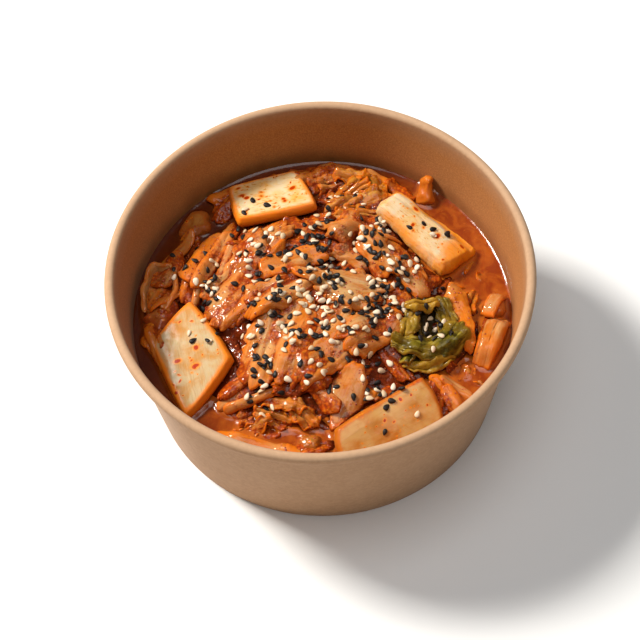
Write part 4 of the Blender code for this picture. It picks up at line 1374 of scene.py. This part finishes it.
def scatter_flakes(ground):
    """Small angular chili scraps, each a ball of 20 faces knocked out of shape."""
    rng = np.random.default_rng(31)
    bm = bmesh.new()
    bmesh.ops.create_icosphere(bm, subdivisions=1, radius=0.5)
    ball = np.array([list(v.co) for v in bm.verts])
    faces = [[v.index for v in face.verts] for face in bm.faces]
    bm.free()
    parts = []
    while len(parts) < FLAKES:
        radius, angle = FLAKE_REACH * math.sqrt(rng.uniform()), rng.uniform(0, 2 * math.pi)
        place, normal = ground.under(radius * math.cos(angle), radius * math.sin(angle))
        if place is None or place[2] < BRINE_LEVEL + 0.5:
            continue
        points = ball * (1.0 + rng.uniform(-0.22, 0.22, (len(ball), 1)))
        size = rng.uniform(0.45, 1.25) * rng.uniform(0.6, 1.0)
        points = points * (size, size * rng.uniform(0.6, 1.0), size * rng.uniform(0.35, 0.6))
        points = points @ basis(normal, rng.uniform(0, 6.3)) + place
        parts.append((points, faces, {"tone": np.full(len(points), rng.uniform(0, 1) ** 1.5)}))
    finish_piece(join_meshes("chili_flakes", parts), flake_material(), "chili_flake")


# ======== light, floor and camera ========
def area_light(name, place, target, size, power, colour):
    light = bpy.data.lights.new(name, "AREA")
    light.shape = "RECTANGLE"
    light.size, light.size_y = size
    light.energy = power
    light.color = colour
    lamp = link_object(name, light)
    lamp.location = place
    lamp.rotation_euler = (Vector(target) - Vector(place)).to_track_quat("-Z", "Y").to_euler()


def make_studio():
    """White table, dim warm surroundings and a soft light from the upper left, behind the bowl."""
    corners = FLOOR_HALF * np.array([(-1, -1, 0), (1, -1, 0), (1, 1, 0), (-1, 1, 0)])
    floor = mesh_object("floor", corners, [(0, 1, 2, 3)])
    floor.data.materials.append(floor_material())
    world = bpy.data.worlds.new("studio")
    world.use_nodes = True
    world.node_tree.nodes["Background"].inputs["Color"].default_value = (1.0, 0.975, 0.94, 1.0)
    world.node_tree.nodes["Background"].inputs["Strength"].default_value = 0.13
    bpy.context.scene.world = world
    area_light("key", (-0.80, 0.45, 1.00), (0.0, 0.0, 0.04), (0.28, 0.28), 26.0, (1.0, 0.97, 0.91))
    area_light("overhead", (0.05, -0.12, 0.95), (0.0, 0.0, 0.04), (0.6, 0.6), 3.0, (1.0, 1.0, 1.0))
    area_light("front", (0.25, -1.0, 0.45), (0.0, 0.0, 0.03), (0.6, 0.4), 0.5, (1.0, 0.98, 0.95))


def make_camera():
    data = bpy.data.cameras.new("camera")
    data.lens_unit = "FOV"
    data.angle = math.radians(CAMERA_FIELD)
    data.clip_start, data.clip_end = 0.01, 10.0
    camera = link_object("camera", data)
    height = math.radians(CAMERA_HEIGHT)
    back = Vector((0.0, -math.cos(height), math.sin(height)))
    camera.location = (Vector(CAMERA_TARGET) + back * CAMERA_DISTANCE) * MM
    facing = (-back).to_track_quat("-Z", "Y").to_matrix()
    camera.rotation_euler = (facing @ Matrix.Rotation(math.radians(-CAMERA_ROLL), 3, "Z")).to_euler()
    bpy.context.scene.camera = camera


# ======== build ========
def main():
    food = HeightMap()
    red_cabbage, green = cabbage_material(), green_material()
    parts = defaultdict(list)
    make_bowl()
    core = make_core(food, red_cabbage)
    lay_fillers(food, parts)
    chunks = make_chunks(food)
    lay_sheets(food, parts, LOWER_SHEETS)
    lay_left_curl(food, parts)
    slices = [*make_radish(food), make_stem_right(food), make_stem_front(food)]
    for table in (FRONT_SHEETS, MOUND_SHEETS, GREEN_SHEETS):
        lay_sheets(food, parts, table)
    sink_paste_and_paint_shade(food, parts)
    leaves = {}
    for node, pieces in parts.items():
        name = "loose_cabbage" if node == "cabbage_heap" else node + "_cabbage"
        material = green if node == "green_leaf" else red_cabbage
        leaves[node] = finish_piece(join_meshes(name, pieces), material, SLOTS.get(node, "cabbage_red"), node)
    make_brine(food)
    peppered = [piece for node, piece in leaves.items() if node != "green_leaf"]
    scatter_flakes(Ground([core, *chunks, *peppered]))
    scatter_seeds(Ground([core, *chunks, *slices, *leaves.values()]))
    make_studio()
    make_camera()
    bpy.context.scene.view_settings.view_transform = "Standard"


main()
